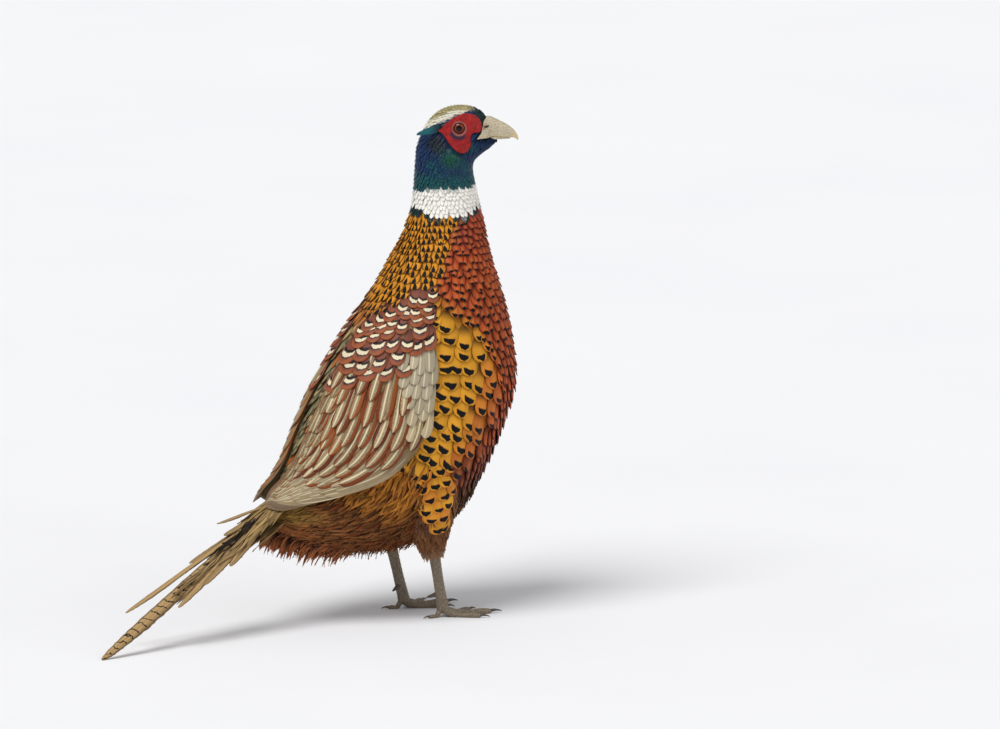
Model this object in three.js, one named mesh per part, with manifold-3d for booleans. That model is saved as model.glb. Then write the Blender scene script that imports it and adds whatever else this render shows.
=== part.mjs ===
// A cock pheasant standing alert, life size, in millimetres.
// +X is the way its body faces, +Y its left side, +Z up. The floor is z = 0.

import * as THREE from 'three';
import { mergeVertices } from 'three/addons/utils/BufferGeometryUtils.js';
import Module from 'manifold-3d';

const wasm = await Module();
wasm.setup();

// Clearance kept between neighbouring pieces.
const GAP = 0.3;
const RAD = Math.PI / 180;
// Slivers and steps smaller than this are smoothed out of a joined or cut piece.
const SMALLEST_EDGE = 0.05;

// The trunk from the bill's base to the tail's root. Each station is one cross-section: its back
// and front edge in the bird's own profile [distance forward, height], its half width, and how far
// the neck has turned there to the bird's right, in degrees.
const STATIONS = [
  { back: [64.2, 439.7], front: [65.9, 421.3], half: 7.0, turn: 27 },
  { back: [59.3, 445.3], front: [71.7, 419.6], half: 9.5, turn: 27 },
  { back: [51.4, 449.7], front: [72.1, 417.8], half: 13.0, turn: 27 },
  { back: [40.9, 451.1], front: [69.0, 415.5], half: 15.8, turn: 27 },
  { back: [29.4, 449.5], front: [65.5, 412.4], half: 17.2, turn: 27 },
  { back: [18.9, 444.1], front: [61.1, 409.3], half: 18.2, turn: 27 },
  { back: [10.5, 434.7], front: [56.7, 405.7], half: 19.2, turn: 27 },
  { back: [4.8, 423.1], front: [53.2, 402.1], half: 20.2, turn: 27 },
  { back: [1.3, 411.5], front: [51.4, 397.2], half: 21.2, turn: 27 },
  { back: [-0.1, 391.8], front: [51.9, 389.2], half: 22.4, turn: 27 },
  { back: [-1.4, 375.9], front: [54.5, 377.4], half: 24.0, turn: 25 },
  { back: [-4.1, 359.5], front: [58.5, 361.7], half: 27.0, turn: 20 },
  { back: [-11.3, 337.3], front: [63.5, 337.6], half: 33.5, turn: 13 },
  { back: [-23.2, 316.5], front: [69.1, 312.3], half: 43.0, turn: 6 },
  { back: [-40.5, 288.5], front: [77.9, 284.3], half: 53.0, turn: 2 },
  { back: [-63.5, 259.5], front: [87.6, 246.0], half: 59.0, turn: 0 },
  { back: [-83.5, 228.0], front: [91.4, 203.1], half: 63.5, turn: 0 },
  { back: [-100.0, 198.5], front: [77.6, 160.9], half: 65.5, turn: 0 },
  { back: [-113.0, 170.5], front: [57.3, 120.9], half: 64.0, turn: 0 },
  { back: [-123.0, 147.0], front: [29.7, 85.0], half: 58.0, turn: 0 },
  { back: [-132.0, 130.0], front: [-9.7, 66.0], half: 49.0, turn: 0 },
  { back: [-140.5, 118.0], front: [-57.8, 62.0], half: 38.0, turn: 0 },
  { back: [-147.0, 109.0], front: [-102.4, 68.0], half: 27.0, turn: 0 },
  { back: [-151.5, 102.0], front: [-133.3, 82.0], half: 15.0, turn: 0 },
];
// The neck turns about an upright line this far forward.
const TURN_AXIS_X = 27.7;
const HEAD_END = 8;
const NECK_END = 14;
const TAIL_END = STATIONS.length - 1;
const TRUNK_SIDES = 24;

// Bill, in the head's own profile: [distance forward, height] of the ridge and the cutting edge.
const UPPER_BILL = [
  { top: [56.5, 440.0], low: [53.5, 424.0], half: 7.0 },
  { top: [65.0, 441.5], low: [61.0, 423.5], half: 6.4 },
  { top: [71.0, 439.4], low: [67.5, 423.2], half: 5.4 },
  { top: [76.8, 436.8], low: [74.0, 422.6], half: 4.4 },
  { top: [82.2, 433.4], low: [80.0, 422.2], half: 3.3 },
  { top: [87.0, 429.4], low: [85.3, 422.3], half: 2.3 },
  { top: [90.2, 425.0], low: [88.3, 421.8], half: 1.4 },
  { top: [91.6, 420.8], low: [90.4, 420.0], half: 0.5 },
];
const LOWER_BILL = [
  { top: [55.0, 424.6], low: [56.5, 419.5], half: 5.6 },
  { top: [64.0, 424.4], low: [65.0, 419.8], half: 4.8 },
  { top: [72.0, 423.6], low: [72.5, 420.4], half: 3.8 },
  { top: [79.0, 422.9], low: [79.0, 420.9], half: 2.6 },
  { top: [84.0, 422.4], low: [84.0, 421.2], half: 1.2 },
];
const NOSTRIL = { at: [64.0, 432.8], size: [3.4, 1.7], depth: 2.4 };

// Eye: its centre in the head's profile, its ball, and how far out from the middle it sits.
const EYE = { at: [39.4, 432.6], radius: 7.2, out: 10.6 };
const LID_RADIUS = 5.6;
const LID_THICKNESS = 1.1;

// Bare red skin round the eye, as an outline in the head's profile.
const WATTLE_OUTLINE = [
  [20.0, 428.8], [27.5, 433.8], [36.0, 441.0], [47.5, 443.8], [55.5, 441.0],
  [60.0, 433.0], [58.5, 427.8], [52.0, 427.5], [49.5, 418.0], [45.0, 409.5],
  [39.5, 408.2], [33.0, 413.0], [27.5, 421.5], [23.5, 428.0],
];
const WATTLE_THICKNESS = 1.4;

// Tufts of narrow feathers over the ears: where one grows, where its tip is, and how far out.
const EAR_TUFT = { root: [22.5, 434.5], tip: [0.5, 430.0], out: [15.5, 21.5], width: 5.0, vanes: 3 };

// Legs: the heel joint inside the thigh's feathers, and where the foot stands.
const LEGS = {
  left: { heel: [-14, 27, 62], foot: [-0.5, 26, 0], hip: [-26, 36, 128], aim: 5 },
  right: { heel: [1.5, -27, 62], foot: [11.5, -26, 0], hip: [-14, -38, 126], aim: -5 },
};
const ANKLE_HEIGHT = 6.5;
const SHANK = { depth: 4.6, width: 3.4, scutes: 11, relief: 0.45 };
const TOES = [
  { name: 'inner', angle: 30, length: 33, radius: 3.0, claw: 9 },
  { name: 'middle', angle: 0, length: 45, radius: 3.4, claw: 11 },
  { name: 'outer', angle: -28, length: 36, radius: 3.0, claw: 9 },
];
const HIND_TOE = { angle: 165, length: 13, radius: 2.3, claw: 7, height: 9 };
const SPUR = { height: 22, length: 9, radius: 2.2 };
const SOLE_SINK = 0.9;

// Wings, in trunk coordinates: station, degrees round from the back, and height over the trunk.
const WING = {
  start: 14.5,
  tipStation: 22.1,
  tipAngle: 17,
  topAngle: 13,
  lowAngles: [66, 74, 79, 83, 78, 62, 49, 40, 26],
  lifts: [1.0, 3.0, 4.0, 4.5, 5.0, 6.0, 8.0, 10.0, 9.5],
  coreEnd: 0.86,
  rooted: 1.5,
};
// Tiers of wing feathers from the shoulder back: where a tier's roots and tips lie along the wing,
// how far it reaches across, how many feathers it has and how wide each one is.
const WING_TIERS = [
  { name: 'scapulars', root: 0.00, tip: 0.22, across: [0.05, 0.95], count: 5, width: 21 },
  { name: 'median coverts', root: 0.14, tip: 0.40, across: [0.05, 0.95], count: 6, width: 19 },
  { name: 'greater coverts', root: 0.30, tip: 0.58, across: [0.05, 0.95], count: 7, width: 17 },
  { name: 'secondaries', root: 0.46, tip: 0.79, across: [0.05, 0.95], count: 6, width: 15 },
  { name: 'primaries', root: 0.66, tip: 1.02, across: [0.10, 0.95], count: 4, width: 11 },
];
const FEATHER = { sunk: 2.0, raised: 3.4, thickness: 1.8 };

// Tail: [forward, left, up] of its root, and of each feather's tip, with the feather's width. The
// longest one's tip lies on the floor, and the others end short of it, as in a worn tail.
const TAIL_ROOT = [-126, -1, 112];
const TAIL_TIP = [-345, -74, 0.4];
const TAIL_CORE_LENGTH = 84;
const TAIL_FEATHERS = [
  { tip: [-345, -74, 0], width: 13 },
  { tip: [-323, -68, 10], width: 11.5 },
  { tip: [-303, -35, 32], width: 8 },
  { tip: [-296, -50, 22], width: 11 },
  { tip: [-265, -62, 38], width: 10 },
  { tip: [-235, -52, 54], width: 10 },
  { tip: [-206, -44, 67], width: 10 },
  { tip: [-262, -24, 50], width: 9 },
  { tip: [-230, -12, 66], width: 9 },
  { tip: [-201, -8, 98], width: 5 },
  { tip: [-196, -12, 88], width: 7 },
];
const TAIL_FEATHER_THICKNESS = 1.5;
// Rounded feathers under the root of the tail, set side by side.
const UNDERTAIL = { count: 5, place: 21.2, spread: 70, width: 17, tipX: -163, tipZ: 70, reach: 15 };

// Geometry helpers

function toSolid(geometry) {
  geometry.deleteAttribute('normal');
  geometry.deleteAttribute('uv');
  const merged = mergeVertices(geometry, 1e-4);
  const mesh = new wasm.Mesh({
    numProp: 3,
    vertProperties: new Float32Array(merged.attributes.position.array),
    triVerts: new Uint32Array(merged.index.array),
  });
  return new wasm.Manifold(mesh);
}

function toGeometry(solid) {
  const mesh = solid.getMesh();
  const geometry = new THREE.BufferGeometry();
  geometry.setAttribute('position', new THREE.BufferAttribute(mesh.vertProperties, 3));
  geometry.setIndex(new THREE.BufferAttribute(mesh.triVerts, 1));
  geometry.computeVertexNormals();
  return geometry;
}

// Joins solids into one and keeps the largest closed body of the result.
function largest(solid) {
  let best = null;
  for (const piece of solid.decompose()) {
    if (!best || piece.volume() > best.volume()) best = piece;
  }
  return best.simplify(SMALLEST_EDGE);
}

function fuse(solids) {
  let joined = solids[0];
  for (const solid of solids.slice(1)) joined = joined.add(solid);
  return largest(joined);
}

// A closed solid through a row of rings with the same number of points, capped at both ends.
function loft(rings) {
  const sides = rings[0].length;
  const points = rings.flat();
  const faces = [];
  for (let i = 0; i < rings.length - 1; i += 1) {
    for (let j = 0; j < sides; j += 1) {
      const a = i * sides + j;
      const b = i * sides + (j + 1) % sides;
      faces.push(a, b, a + sides, b, b + sides, a + sides);
    }
  }
  for (const [ring, turn] of [[0, -1], [rings.length - 1, 1]]) {
    const centre = new THREE.Vector3();
    for (const point of rings[ring]) centre.addScaledVector(point, 1 / sides);
    points.push(centre);
    for (let j = 0; j < sides; j += 1) {
      const a = ring * sides + j;
      const b = ring * sides + (j + 1) % sides;
      if (turn > 0) faces.push(a, b, points.length - 1);
      else faces.push(b, a, points.length - 1);
    }
  }
  return closed(points, faces);
}

// Makes a solid of points and triangles, turned so that its faces point out.
function closed(points, faces) {
  let volume = 0;
  for (let i = 0; i < faces.length; i += 3) {
    const [a, b, c] = [points[faces[i]], points[faces[i + 1]], points[faces[i + 2]]];
    volume += a.dot(new THREE.Vector3().crossVectors(b, c));
  }
  const turned = volume < 0 ? faces.slice().reverse() : faces;
  const geometry = new THREE.BufferGeometry().setFromPoints(points);
  geometry.setIndex(turned);
  return toSolid(geometry);
}

// A number read off a row of values at a fractional place, on a smooth curve through them.
function along(values, place) {
  const last = values.length - 1;
  const s = Math.min(Math.max(place, 0), last);
  const i = Math.min(Math.floor(s), last - 1);
  const f = s - i;
  const p0 = values[Math.max(i - 1, 0)];
  const p1 = values[i];
  const p2 = values[i + 1];
  const p3 = values[Math.min(i + 2, last)];
  return 0.5 * (2 * p1 + (p2 - p0) * f + (2 * p0 - 5 * p1 + 4 * p2 - p3) * f * f
    + (3 * p1 - p0 - 3 * p2 + p3) * f * f * f);
}

const BACK_X = STATIONS.map((s) => s.back[0]);
const BACK_Z = STATIONS.map((s) => s.back[1]);
const FRONT_X = STATIONS.map((s) => s.front[0]);
const FRONT_Z = STATIONS.map((s) => s.front[1]);
const HALF = STATIONS.map((s) => s.half);
const TURN = STATIONS.map((s) => -s.turn);

// Turns a point of the bird's profile, with a distance to its left, into space.
function fromProfile(x, z, left, turn) {
  const c = Math.cos(turn * RAD);
  const s = Math.sin(turn * RAD);
  const forward = x - TURN_AXIS_X;
  return new THREE.Vector3(TURN_AXIS_X + forward * c - left * s, forward * s + left * c, z);
}

const HEAD_TURN = TURN[0];
const headPoint = (x, z, left) => fromProfile(x, z, left, HEAD_TURN);

// A point of the trunk's surface: place is a station, angle the degrees round from the middle of
// the back, positive to the left, and grow a distance outwards.
function trunkPoint(place, angle, grow = 0) {
  const back = [along(BACK_X, place), along(BACK_Z, place)];
  const front = [along(FRONT_X, place), along(FRONT_Z, place)];
  const reach = Math.hypot(back[0] - front[0], back[1] - front[1]) / 2;
  const dx = (back[0] - front[0]) / (2 * reach);
  const dz = (back[1] - front[1]) / (2 * reach);
  const c = (reach + grow) * Math.cos(angle * RAD);
  const s = (along(HALF, place) + grow) * Math.sin(angle * RAD);
  const x = (back[0] + front[0]) / 2 + dx * c;
  const z = (back[1] + front[1]) / 2 + dz * c;
  return fromProfile(x, z, s, along(TURN, place));
}

// The trunk between two stations. Its ends are drawn in by half the gap along their own normal.
function trunk(from, to, { grow = 0, ends = GAP / 2, step = 0.5, sides = TRUNK_SIDES } = {}) {
  const rings = [];
  const count = Math.round((to - from) / step);
  for (let i = 0; i <= count; i += 1) {
    const place = from + (to - from) * i / count;
    const ring = [];
    for (let j = 0; j < sides; j += 1) ring.push(trunkPoint(place, 360 * j / sides, grow));
    rings.push(ring);
  }
  for (const [ring, sign] of [[rings[0], 1], [rings[count], -1]]) {
    const normal = new THREE.Vector3().crossVectors(
      ring[0].clone().sub(ring[sides / 2]), ring[sides / 4].clone().sub(ring[3 * sides / 4]));
    normal.normalize();
    const middle = rings[Math.floor(count / 2)][0].clone().sub(ring[0]);
    const inward = Math.sign(normal.dot(middle));
    for (const point of ring) point.addScaledVector(normal, inward * ends);
  }
  return loft(rings);
}

// A tapered tube along points, with a half width to the side and a half height towards up.
function sweep(path, sizes, { sides = 8, up = new THREE.Vector3(0, 0, 1) } = {}) {
  const rings = path.map((point, i) => {
    const ahead = path[Math.min(i + 1, path.length - 1)].clone();
    const way = ahead.sub(path[Math.max(i - 1, 0)]).normalize();
    const side = new THREE.Vector3().crossVectors(up, way).normalize();
    const rise = new THREE.Vector3().crossVectors(way, side).normalize();
    const ring = [];
    for (let j = 0; j < sides; j += 1) {
      const angle = 2 * Math.PI * (j + 0.5) / sides;
      ring.push(point.clone()
        .addScaledVector(side, sizes[i][0] * Math.cos(angle))
        .addScaledVector(rise, sizes[i][1] * Math.sin(angle)));
    }
    return ring;
  });
  return loft(rings);
}

function ball(centre, radius, detail = [14, 9]) {
  const geometry = new THREE.SphereGeometry(radius, detail[0], detail[1]);
  geometry.translate(centre.x, centre.y, centre.z);
  return toSolid(geometry);
}

// One feather as a thin closed blade along a path, flat towards out, widest past its middle.
const VANE_OUTLINE = [0.5, 0.9, 1.0, 0.82, 0.3];

function vane(path, outs, width, thickness) {
  const rings = path.map((point, i) => {
    const way = path[Math.min(i + 1, path.length - 1)].clone();
    way.sub(path[Math.max(i - 1, 0)]).normalize();
    const side = new THREE.Vector3().crossVectors(outs[i], way).normalize();
    const rise = new THREE.Vector3().crossVectors(way, side).normalize();
    const f = i / (path.length - 1);
    const half = width / 2 * along(VANE_OUTLINE, f * (VANE_OUTLINE.length - 1));
    const thick = thickness / 2 * (1 - 0.45 * f);
    return [
      point.clone().addScaledVector(side, half),
      point.clone().addScaledVector(rise, thick),
      point.clone().addScaledVector(side, -half),
      point.clone().addScaledVector(rise, -thick),
    ];
  });
  return loft(rings);
}

// A straight prism over an outline in the head's profile, on one side of the head.
function headPrism(outline, side, inner, outer) {
  const rings = [inner, outer].map(
    (out) => outline.map(([x, z]) => headPoint(x, z, side * out)));
  return loft(rings);
}

// All that reaches below the floor.
function floorBlock() {
  return toSolid(new THREE.BoxGeometry(900, 900, 20).translate(0, 0, -10));
}

// Head

const SIDES = [['left', 1], ['right', -1]];

function billHalf(rows, grow = 0) {
  const sides = 12;
  const rings = rows.map(({ top, low, half }) => {
    const ring = [];
    for (let j = 0; j < sides; j += 1) {
      const angle = 2 * Math.PI * (j + 0.5) / sides;
      const c = Math.cos(angle);
      const s = Math.sin(angle);
      const middle = [(top[0] + low[0]) / 2, (top[1] + low[1]) / 2];
      const reach = Math.hypot(top[0] - low[0], top[1] - low[1]) / 2;
      const dx = (top[0] - low[0]) / (2 * reach);
      const dz = (top[1] - low[1]) / (2 * reach);
      const up = (reach + grow) * c;
      const width = (half + grow) * s * (c < 0 ? 1.12 : 1);
      ring.push(headPoint(middle[0] + dx * up, middle[1] + dz * up, width));
    }
    return ring;
  });
  return loft(rings);
}

function eyeBall(side, grow = 0) {
  const centre = headPoint(EYE.at[0], EYE.at[1], side * EYE.out);
  return ball(centre, EYE.radius + grow);
}

function nostril(side) {
  const outer = headPoint(NOSTRIL.at[0], NOSTRIL.at[1], side * 9);
  const inner = headPoint(NOSTRIL.at[0], NOSTRIL.at[1], side * (6.4 - NOSTRIL.depth));
  const [long, high] = NOSTRIL.size;
  return sweep([inner, outer], [[long / 2, high / 2], [long / 2, high / 2]], { sides: 8 });
}

const upperBill = () => billHalf(UPPER_BILL);
const lowerBill = () => billHalf(LOWER_BILL).subtract(billHalf(UPPER_BILL, GAP));

function wattle(side) {
  const shell = trunk(0, HEAD_END, { grow: WATTLE_THICKNESS, ends: 0 });
  const prism = headPrism(WATTLE_OUTLINE, side, 4, 26);
  const lid = new THREE.TorusGeometry(LID_RADIUS, LID_THICKNESS, 6, 20);
  lid.rotateX(Math.PI / 2);
  lid.rotateZ(HEAD_TURN * RAD);
  const lidOut = EYE.out + Math.sqrt(EYE.radius ** 2 - LID_RADIUS ** 2);
  const at = headPoint(EYE.at[0], EYE.at[1], side * lidOut);
  lid.translate(at.x, at.y, at.z);
  const whole = shell.intersect(prism).add(toSolid(lid));
  const clear = whole
    .subtract(trunk(0, HEAD_END, { grow: GAP, ends: -GAP }))
    .subtract(eyeBall(side, GAP))
    .subtract(billHalf(UPPER_BILL, GAP));
  return largest(clear);
}

// Narrow feathers side by side that stand back from the ear in a pointed tuft.
function earTuft(side) {
  const blades = [];
  for (let i = 0; i < EAR_TUFT.vanes; i += 1) {
    const fan = i - (EAR_TUFT.vanes - 1) / 2;
    const path = [];
    const outs = [];
    for (let j = 0; j <= 4; j += 1) {
      const f = j / 4;
      const x = EAR_TUFT.root[0] + (EAR_TUFT.tip[0] - EAR_TUFT.root[0]) * f + Math.abs(fan) * 4 * f;
      const z = EAR_TUFT.root[1] + (EAR_TUFT.tip[1] - EAR_TUFT.root[1]) * f - fan * (1.4 + 1.2 * f);
      const out = EAR_TUFT.out[0] + (EAR_TUFT.out[1] - EAR_TUFT.out[0]) * Math.sin(f * Math.PI / 2);
      path.push(headPoint(x, z, side * out));
      outs.push(headPoint(x, z, side * (out + 1)).sub(path[j]));
    }
    blades.push(vane(path, outs, EAR_TUFT.width, 2.6));
  }
  return blades;
}

function head() {
  let solid = trunk(0, HEAD_END, { ends: GAP / 2 });
  for (const [, side] of SIDES) solid = fuse([solid, ...earTuft(side)]);
  for (const [, side] of SIDES) {
    solid = solid.subtract(eyeBall(side, GAP));
  }
  solid = solid.subtract(billHalf(UPPER_BILL, GAP)).subtract(billHalf(LOWER_BILL, GAP));
  return largest(solid);
}

// Legs

function lerp(a, b, f) {
  return new THREE.Vector3(...a).lerp(new THREE.Vector3(...b), f);
}

function thigh({ hip, heel }) {
  const sizes = [[24, 32], [23, 30], [19, 25], [13.5, 16.5], [8.0, 9.5]];
  const path = sizes.map((_, i) => lerp(hip, heel, i / (sizes.length - 1)));
  path[path.length - 1].z -= 6;
  return sweep(path, sizes, { sides: 14, up: new THREE.Vector3(1, 0, 0) });
}

// A toe with its claw, lying along the floor and cut flat under its pads.
function toe(start, angle, { length, radius, claw }) {
  const way = new THREE.Vector3(Math.cos(angle * RAD), Math.sin(angle * RAD), 0);
  const path = [];
  const sizes = [];
  const joints = 6;
  for (let i = 0; i <= joints; i += 1) {
    const f = i / joints;
    const swell = 1 - 0.38 * f + 0.1 * Math.sin(3 * Math.PI * f);
    const size = radius * swell;
    const drop = Math.max(start.z * (1 - 2.2 * f), size - SOLE_SINK);
    path.push(start.clone().setZ(drop).addScaledVector(way, length * f));
    sizes.push([size * 1.05, size]);
  }
  for (let i = 1; i <= 3; i += 1) {
    const f = i / 3;
    const point = start.clone().addScaledVector(way, length + claw * f);
    point.z = radius * 0.55 + 1.0 * Math.sin(Math.PI * f) - 0.6 * f;
    path.push(point);
    sizes.push([radius * 0.42 * (1 - 0.85 * f), radius * 0.5 * (1 - 0.8 * f)]);
  }
  return sweep(path, sizes, { sides: 8 });
}

function leg(side, { heel, foot, aim }) {
  const ankle = new THREE.Vector3(foot[0], foot[1], ANKLE_HEIGHT);
  const top = new THREE.Vector3(...heel);
  const path = [];
  const sizes = [];
  const rows = SHANK.scutes;
  for (let i = 0; i <= rows; i += 1) {
    for (const edge of [0, 0.82]) {
      const f = Math.min((i + edge) / (rows + 1), 1);
      const waist = 1 + 0.2 * (2 * f - 1) ** 2;
      const relief = edge === 0 ? SHANK.relief : -SHANK.relief * 0.3;
      path.push(top.clone().lerp(ankle, f));
      sizes.push([SHANK.width * waist + relief, SHANK.depth * waist + relief]);
    }
  }
  const pieces = [sweep(path, sizes, { sides: 8, up: new THREE.Vector3(1, 0, 0) })];
  for (const one of TOES) pieces.push(toe(ankle, aim + side * one.angle, one));
  const behind = new THREE.Vector3(foot[0] - 1.5, foot[1], HIND_TOE.height);
  pieces.push(toe(behind, aim + side * HIND_TOE.angle, HIND_TOE));
  const spurRoot = top.clone().lerp(ankle, (heel[2] - SPUR.height) / (heel[2] - ANKLE_HEIGHT));
  const spurWay = new THREE.Vector3(-0.8, -side * 0.45, -0.42).normalize();
  const spurPath = [0, 0.5, 1].map((f) => spurRoot.clone().addScaledVector(
    spurWay, (SPUR.length + SHANK.depth) * f));
  pieces.push(sweep(spurPath, [[SPUR.radius, SPUR.radius], [1.7, 1.7], [0.35, 0.35]], { sides: 6 }));
  return largest(fuse(pieces).subtract(floorBlock()));
}

// Wings

function wingPoint(side, a, b, lift) {
  const place = WING.start + (WING.tipStation - WING.start) * a;
  const row = a * (WING.lowAngles.length - 1);
  const top = WING.topAngle + (WING.tipAngle - WING.topAngle) * a ** 4;
  const low = along(WING.lowAngles, row);
  const angle = top + (low - top) * b;
  return trunkPoint(place, side * angle, lift);
}

const wingLift = (a) => along(WING.lifts, a * (WING.lifts.length - 1));

// The flesh and bone of the folded wing, which the feathers lie on.
function wingCore(side) {
  const rings = [];
  const steps = 8;
  const across = 6;
  for (let i = 0; i <= steps; i += 1) {
    const a = WING.coreEnd * i / steps;
    const lift = wingLift(a);
    const ring = [];
    for (let j = 0; j <= across; j += 1) ring.push(wingPoint(side, a, j / across, lift));
    for (let j = across; j >= 0; j -= 1) ring.push(wingPoint(side, a, j / across, -WING.rooted));
    rings.push(ring);
  }
  return loft(rings);
}

// A feather that starts sunk in the wing and rises over the next tier.
function wingFeather(side, tier, b, stray) {
  const path = [];
  const outs = [];
  for (let j = 0; j <= 4; j += 1) {
    const f = j / 4;
    const a = tier.root + (tier.tip - tier.root + 0.02 * stray) * f;
    const rise = (FEATHER.sunk + FEATHER.raised + 0.5 * stray) * f;
    const lift = wingLift(Math.min(a, 1)) - FEATHER.sunk + rise;
    path.push(wingPoint(side, a, b, lift));
    outs.push(wingPoint(side, a, b, lift + 1).sub(path[j]));
  }
  return vane(path, outs, tier.width, FEATHER.thickness);
}

function wing(side) {
  const pieces = [wingCore(side)];
  WING_TIERS.forEach((tier, row) => {
    for (let i = 0; i < tier.count; i += 1) {
      const shift = (row % 2) * 0.25 - 0.125;
      const f = (i + 0.5 + shift) / tier.count;
      const b = tier.across[0] + (tier.across[1] - tier.across[0]) * f;
      pieces.push(wingFeather(side, tier, b, Math.sin(12.9 * i + 7.3 * row + side)));
    }
  });
  return fuse(pieces);
}

// Tail

// The base of the tail, where the feathers' quills lie close together.
function tailCore(grow = 0) {
  const start = new THREE.Vector3(...TAIL_ROOT);
  const tip = new THREE.Vector3(...TAIL_TIP);
  const length = start.distanceTo(tip);
  const rows = 4;
  const path = [];
  const sizes = [];
  for (let i = 0; i <= rows; i += 1) {
    const f = i / rows;
    path.push(start.clone().lerp(tip, TAIL_CORE_LENGTH / length * f));
    sizes.push([14.5 - 8.5 * f + grow, 8.5 - 6.3 * f + grow]);
  }
  return sweep(path, sizes, { sides: 10 });
}

// Long feathers that fan from the base. Each arches a little and turns its outer edge down.
function tailFeather({ tip, width }, grow = 0) {
  const root = new THREE.Vector3(...TAIL_ROOT);
  const end = new THREE.Vector3(...tip);
  const axis = new THREE.Vector3(...TAIL_TIP).sub(root).normalize();
  root.addScaledVector(axis, 18);
  const across = new THREE.Vector3(0, 0, 1).cross(axis).normalize();
  const off = end.clone().sub(root).dot(across);
  const path = [];
  const outs = [];
  for (let j = 0; j <= 5; j += 1) {
    const f = j / 5;
    const point = root.clone().lerp(end, f);
    point.z += 5 * Math.sin(Math.PI * f) * (1 - f);
    path.push(point);
    outs.push(new THREE.Vector3(0, 0, 1).addScaledVector(across, off / 60));
  }
  return vane(path, outs, width + 2 * grow, TAIL_FEATHER_THICKNESS + 2 * grow);
}

function tail(grow = 0) {
  const pieces = [tailCore(grow), ...TAIL_FEATHERS.map((one) => tailFeather(one, grow))];
  return largest(fuse(pieces).subtract(floorBlock()));
}

// Rounded feathers that hang back under the tail's root.
function undertail() {
  const blades = [];
  for (let i = 0; i < UNDERTAIL.count; i += 1) {
    const fan = 2 * i / (UNDERTAIL.count - 1) - 1;
    const root = trunkPoint(UNDERTAIL.place, 180 + UNDERTAIL.spread * fan, -7);
    const tip = new THREE.Vector3(
      UNDERTAIL.tipX + 9 * fan * fan, -UNDERTAIL.reach * fan, UNDERTAIL.tipZ + 4 * fan * fan);
    const path = [0, 0.25, 0.5, 0.75, 1].map((f) => root.clone().lerp(tip, f));
    const outs = path.map(() => new THREE.Vector3(0, -0.5 * fan, -1));
    blades.push(vane(path, outs, UNDERTAIL.width, 3));
  }
  return blades;
}

// Assembly

const FINISH = {
  head: new THREE.MeshStandardMaterial({ color: 0x14364a, roughness: 0.55 }),
  bill: new THREE.MeshStandardMaterial({ color: 0xc9bd9c, roughness: 0.45 }),
  eye: new THREE.MeshStandardMaterial({ color: 0x1b1410, roughness: 0.08 }),
  wattle: new THREE.MeshStandardMaterial({ color: 0xc01818, roughness: 0.6 }),
  neck: new THREE.MeshStandardMaterial({ color: 0x9c4a1c, roughness: 0.7 }),
  torso: new THREE.MeshStandardMaterial({ color: 0xc07a22, roughness: 0.7 }),
  thigh: new THREE.MeshStandardMaterial({ color: 0x6b4326, roughness: 0.85 }),
  leg: new THREE.MeshStandardMaterial({ color: 0x7a6f60, roughness: 0.6 }),
  wing: new THREE.MeshStandardMaterial({ color: 0xa88c66, roughness: 0.75 }),
  tail: new THREE.MeshStandardMaterial({ color: 0x9b8355, roughness: 0.75 }),
};

const bird = new THREE.Group();

function place(name, solid, material) {
  const mesh = new THREE.Mesh(toGeometry(solid), material);
  mesh.name = name;
  bird.add(mesh);
}

const tailClear = tail(GAP);
const coverts = undertail().map((one) => one.subtract(tailClear));
const torso = fuse([trunk(NECK_END, TAIL_END), ...coverts]);
const torsoClear = trunk(NECK_END, TAIL_END, { grow: GAP, ends: 0 });
const neckClear = trunk(HEAD_END, NECK_END, { grow: GAP, ends: -GAP });
const neck = trunk(HEAD_END, NECK_END);
const tailSolid = tail();

place('head', head(), FINISH.head);
place('bill_upper', largest(upperBill().subtract(nostril(1)).subtract(nostril(-1))), FINISH.bill);
place('bill_lower', largest(lowerBill()), FINISH.bill);
place('neck', neck, FINISH.neck);
place('torso', torso, FINISH.torso);
for (const [name, side] of SIDES) {
  place(`eye_${name}`, eyeBall(side), FINISH.eye);
  place(`wattle_${name}`, wattle(side), FINISH.wattle);
  const thighSolid = thigh(LEGS[name]);
  const legSolid = leg(side, LEGS[name]);
  place(`leg_${name}`, legSolid, FINISH.leg);
  place(`thigh_${name}`, largest(thighSolid.subtract(torsoClear).subtract(legSolid)), FINISH.thigh);
  const wingSolid = wing(side).subtract(torsoClear).subtract(neckClear).subtract(tailClear);
  place(`wing_${name}`, largest(wingSolid), FINISH.wing);
}
place('tail', largest(tailSolid.subtract(torsoClear)), FINISH.tail);

// The origin is the middle of the bird's box, on the floor.
const box = new THREE.Box3().setFromObject(bird);
bird.position.set(-(box.min.x + box.max.x) / 2, -(box.min.y + box.max.y) / 2, -box.min.z);

export default bird;
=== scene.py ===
"""A cock pheasant standing alert: its plumage, bare skin, bill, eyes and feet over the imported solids.

Shapes are worked out in millimetres in the bird's own frame, +X forward, +Y left, +Z up with the
floor at zero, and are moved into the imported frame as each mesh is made.
"""
import math

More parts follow.
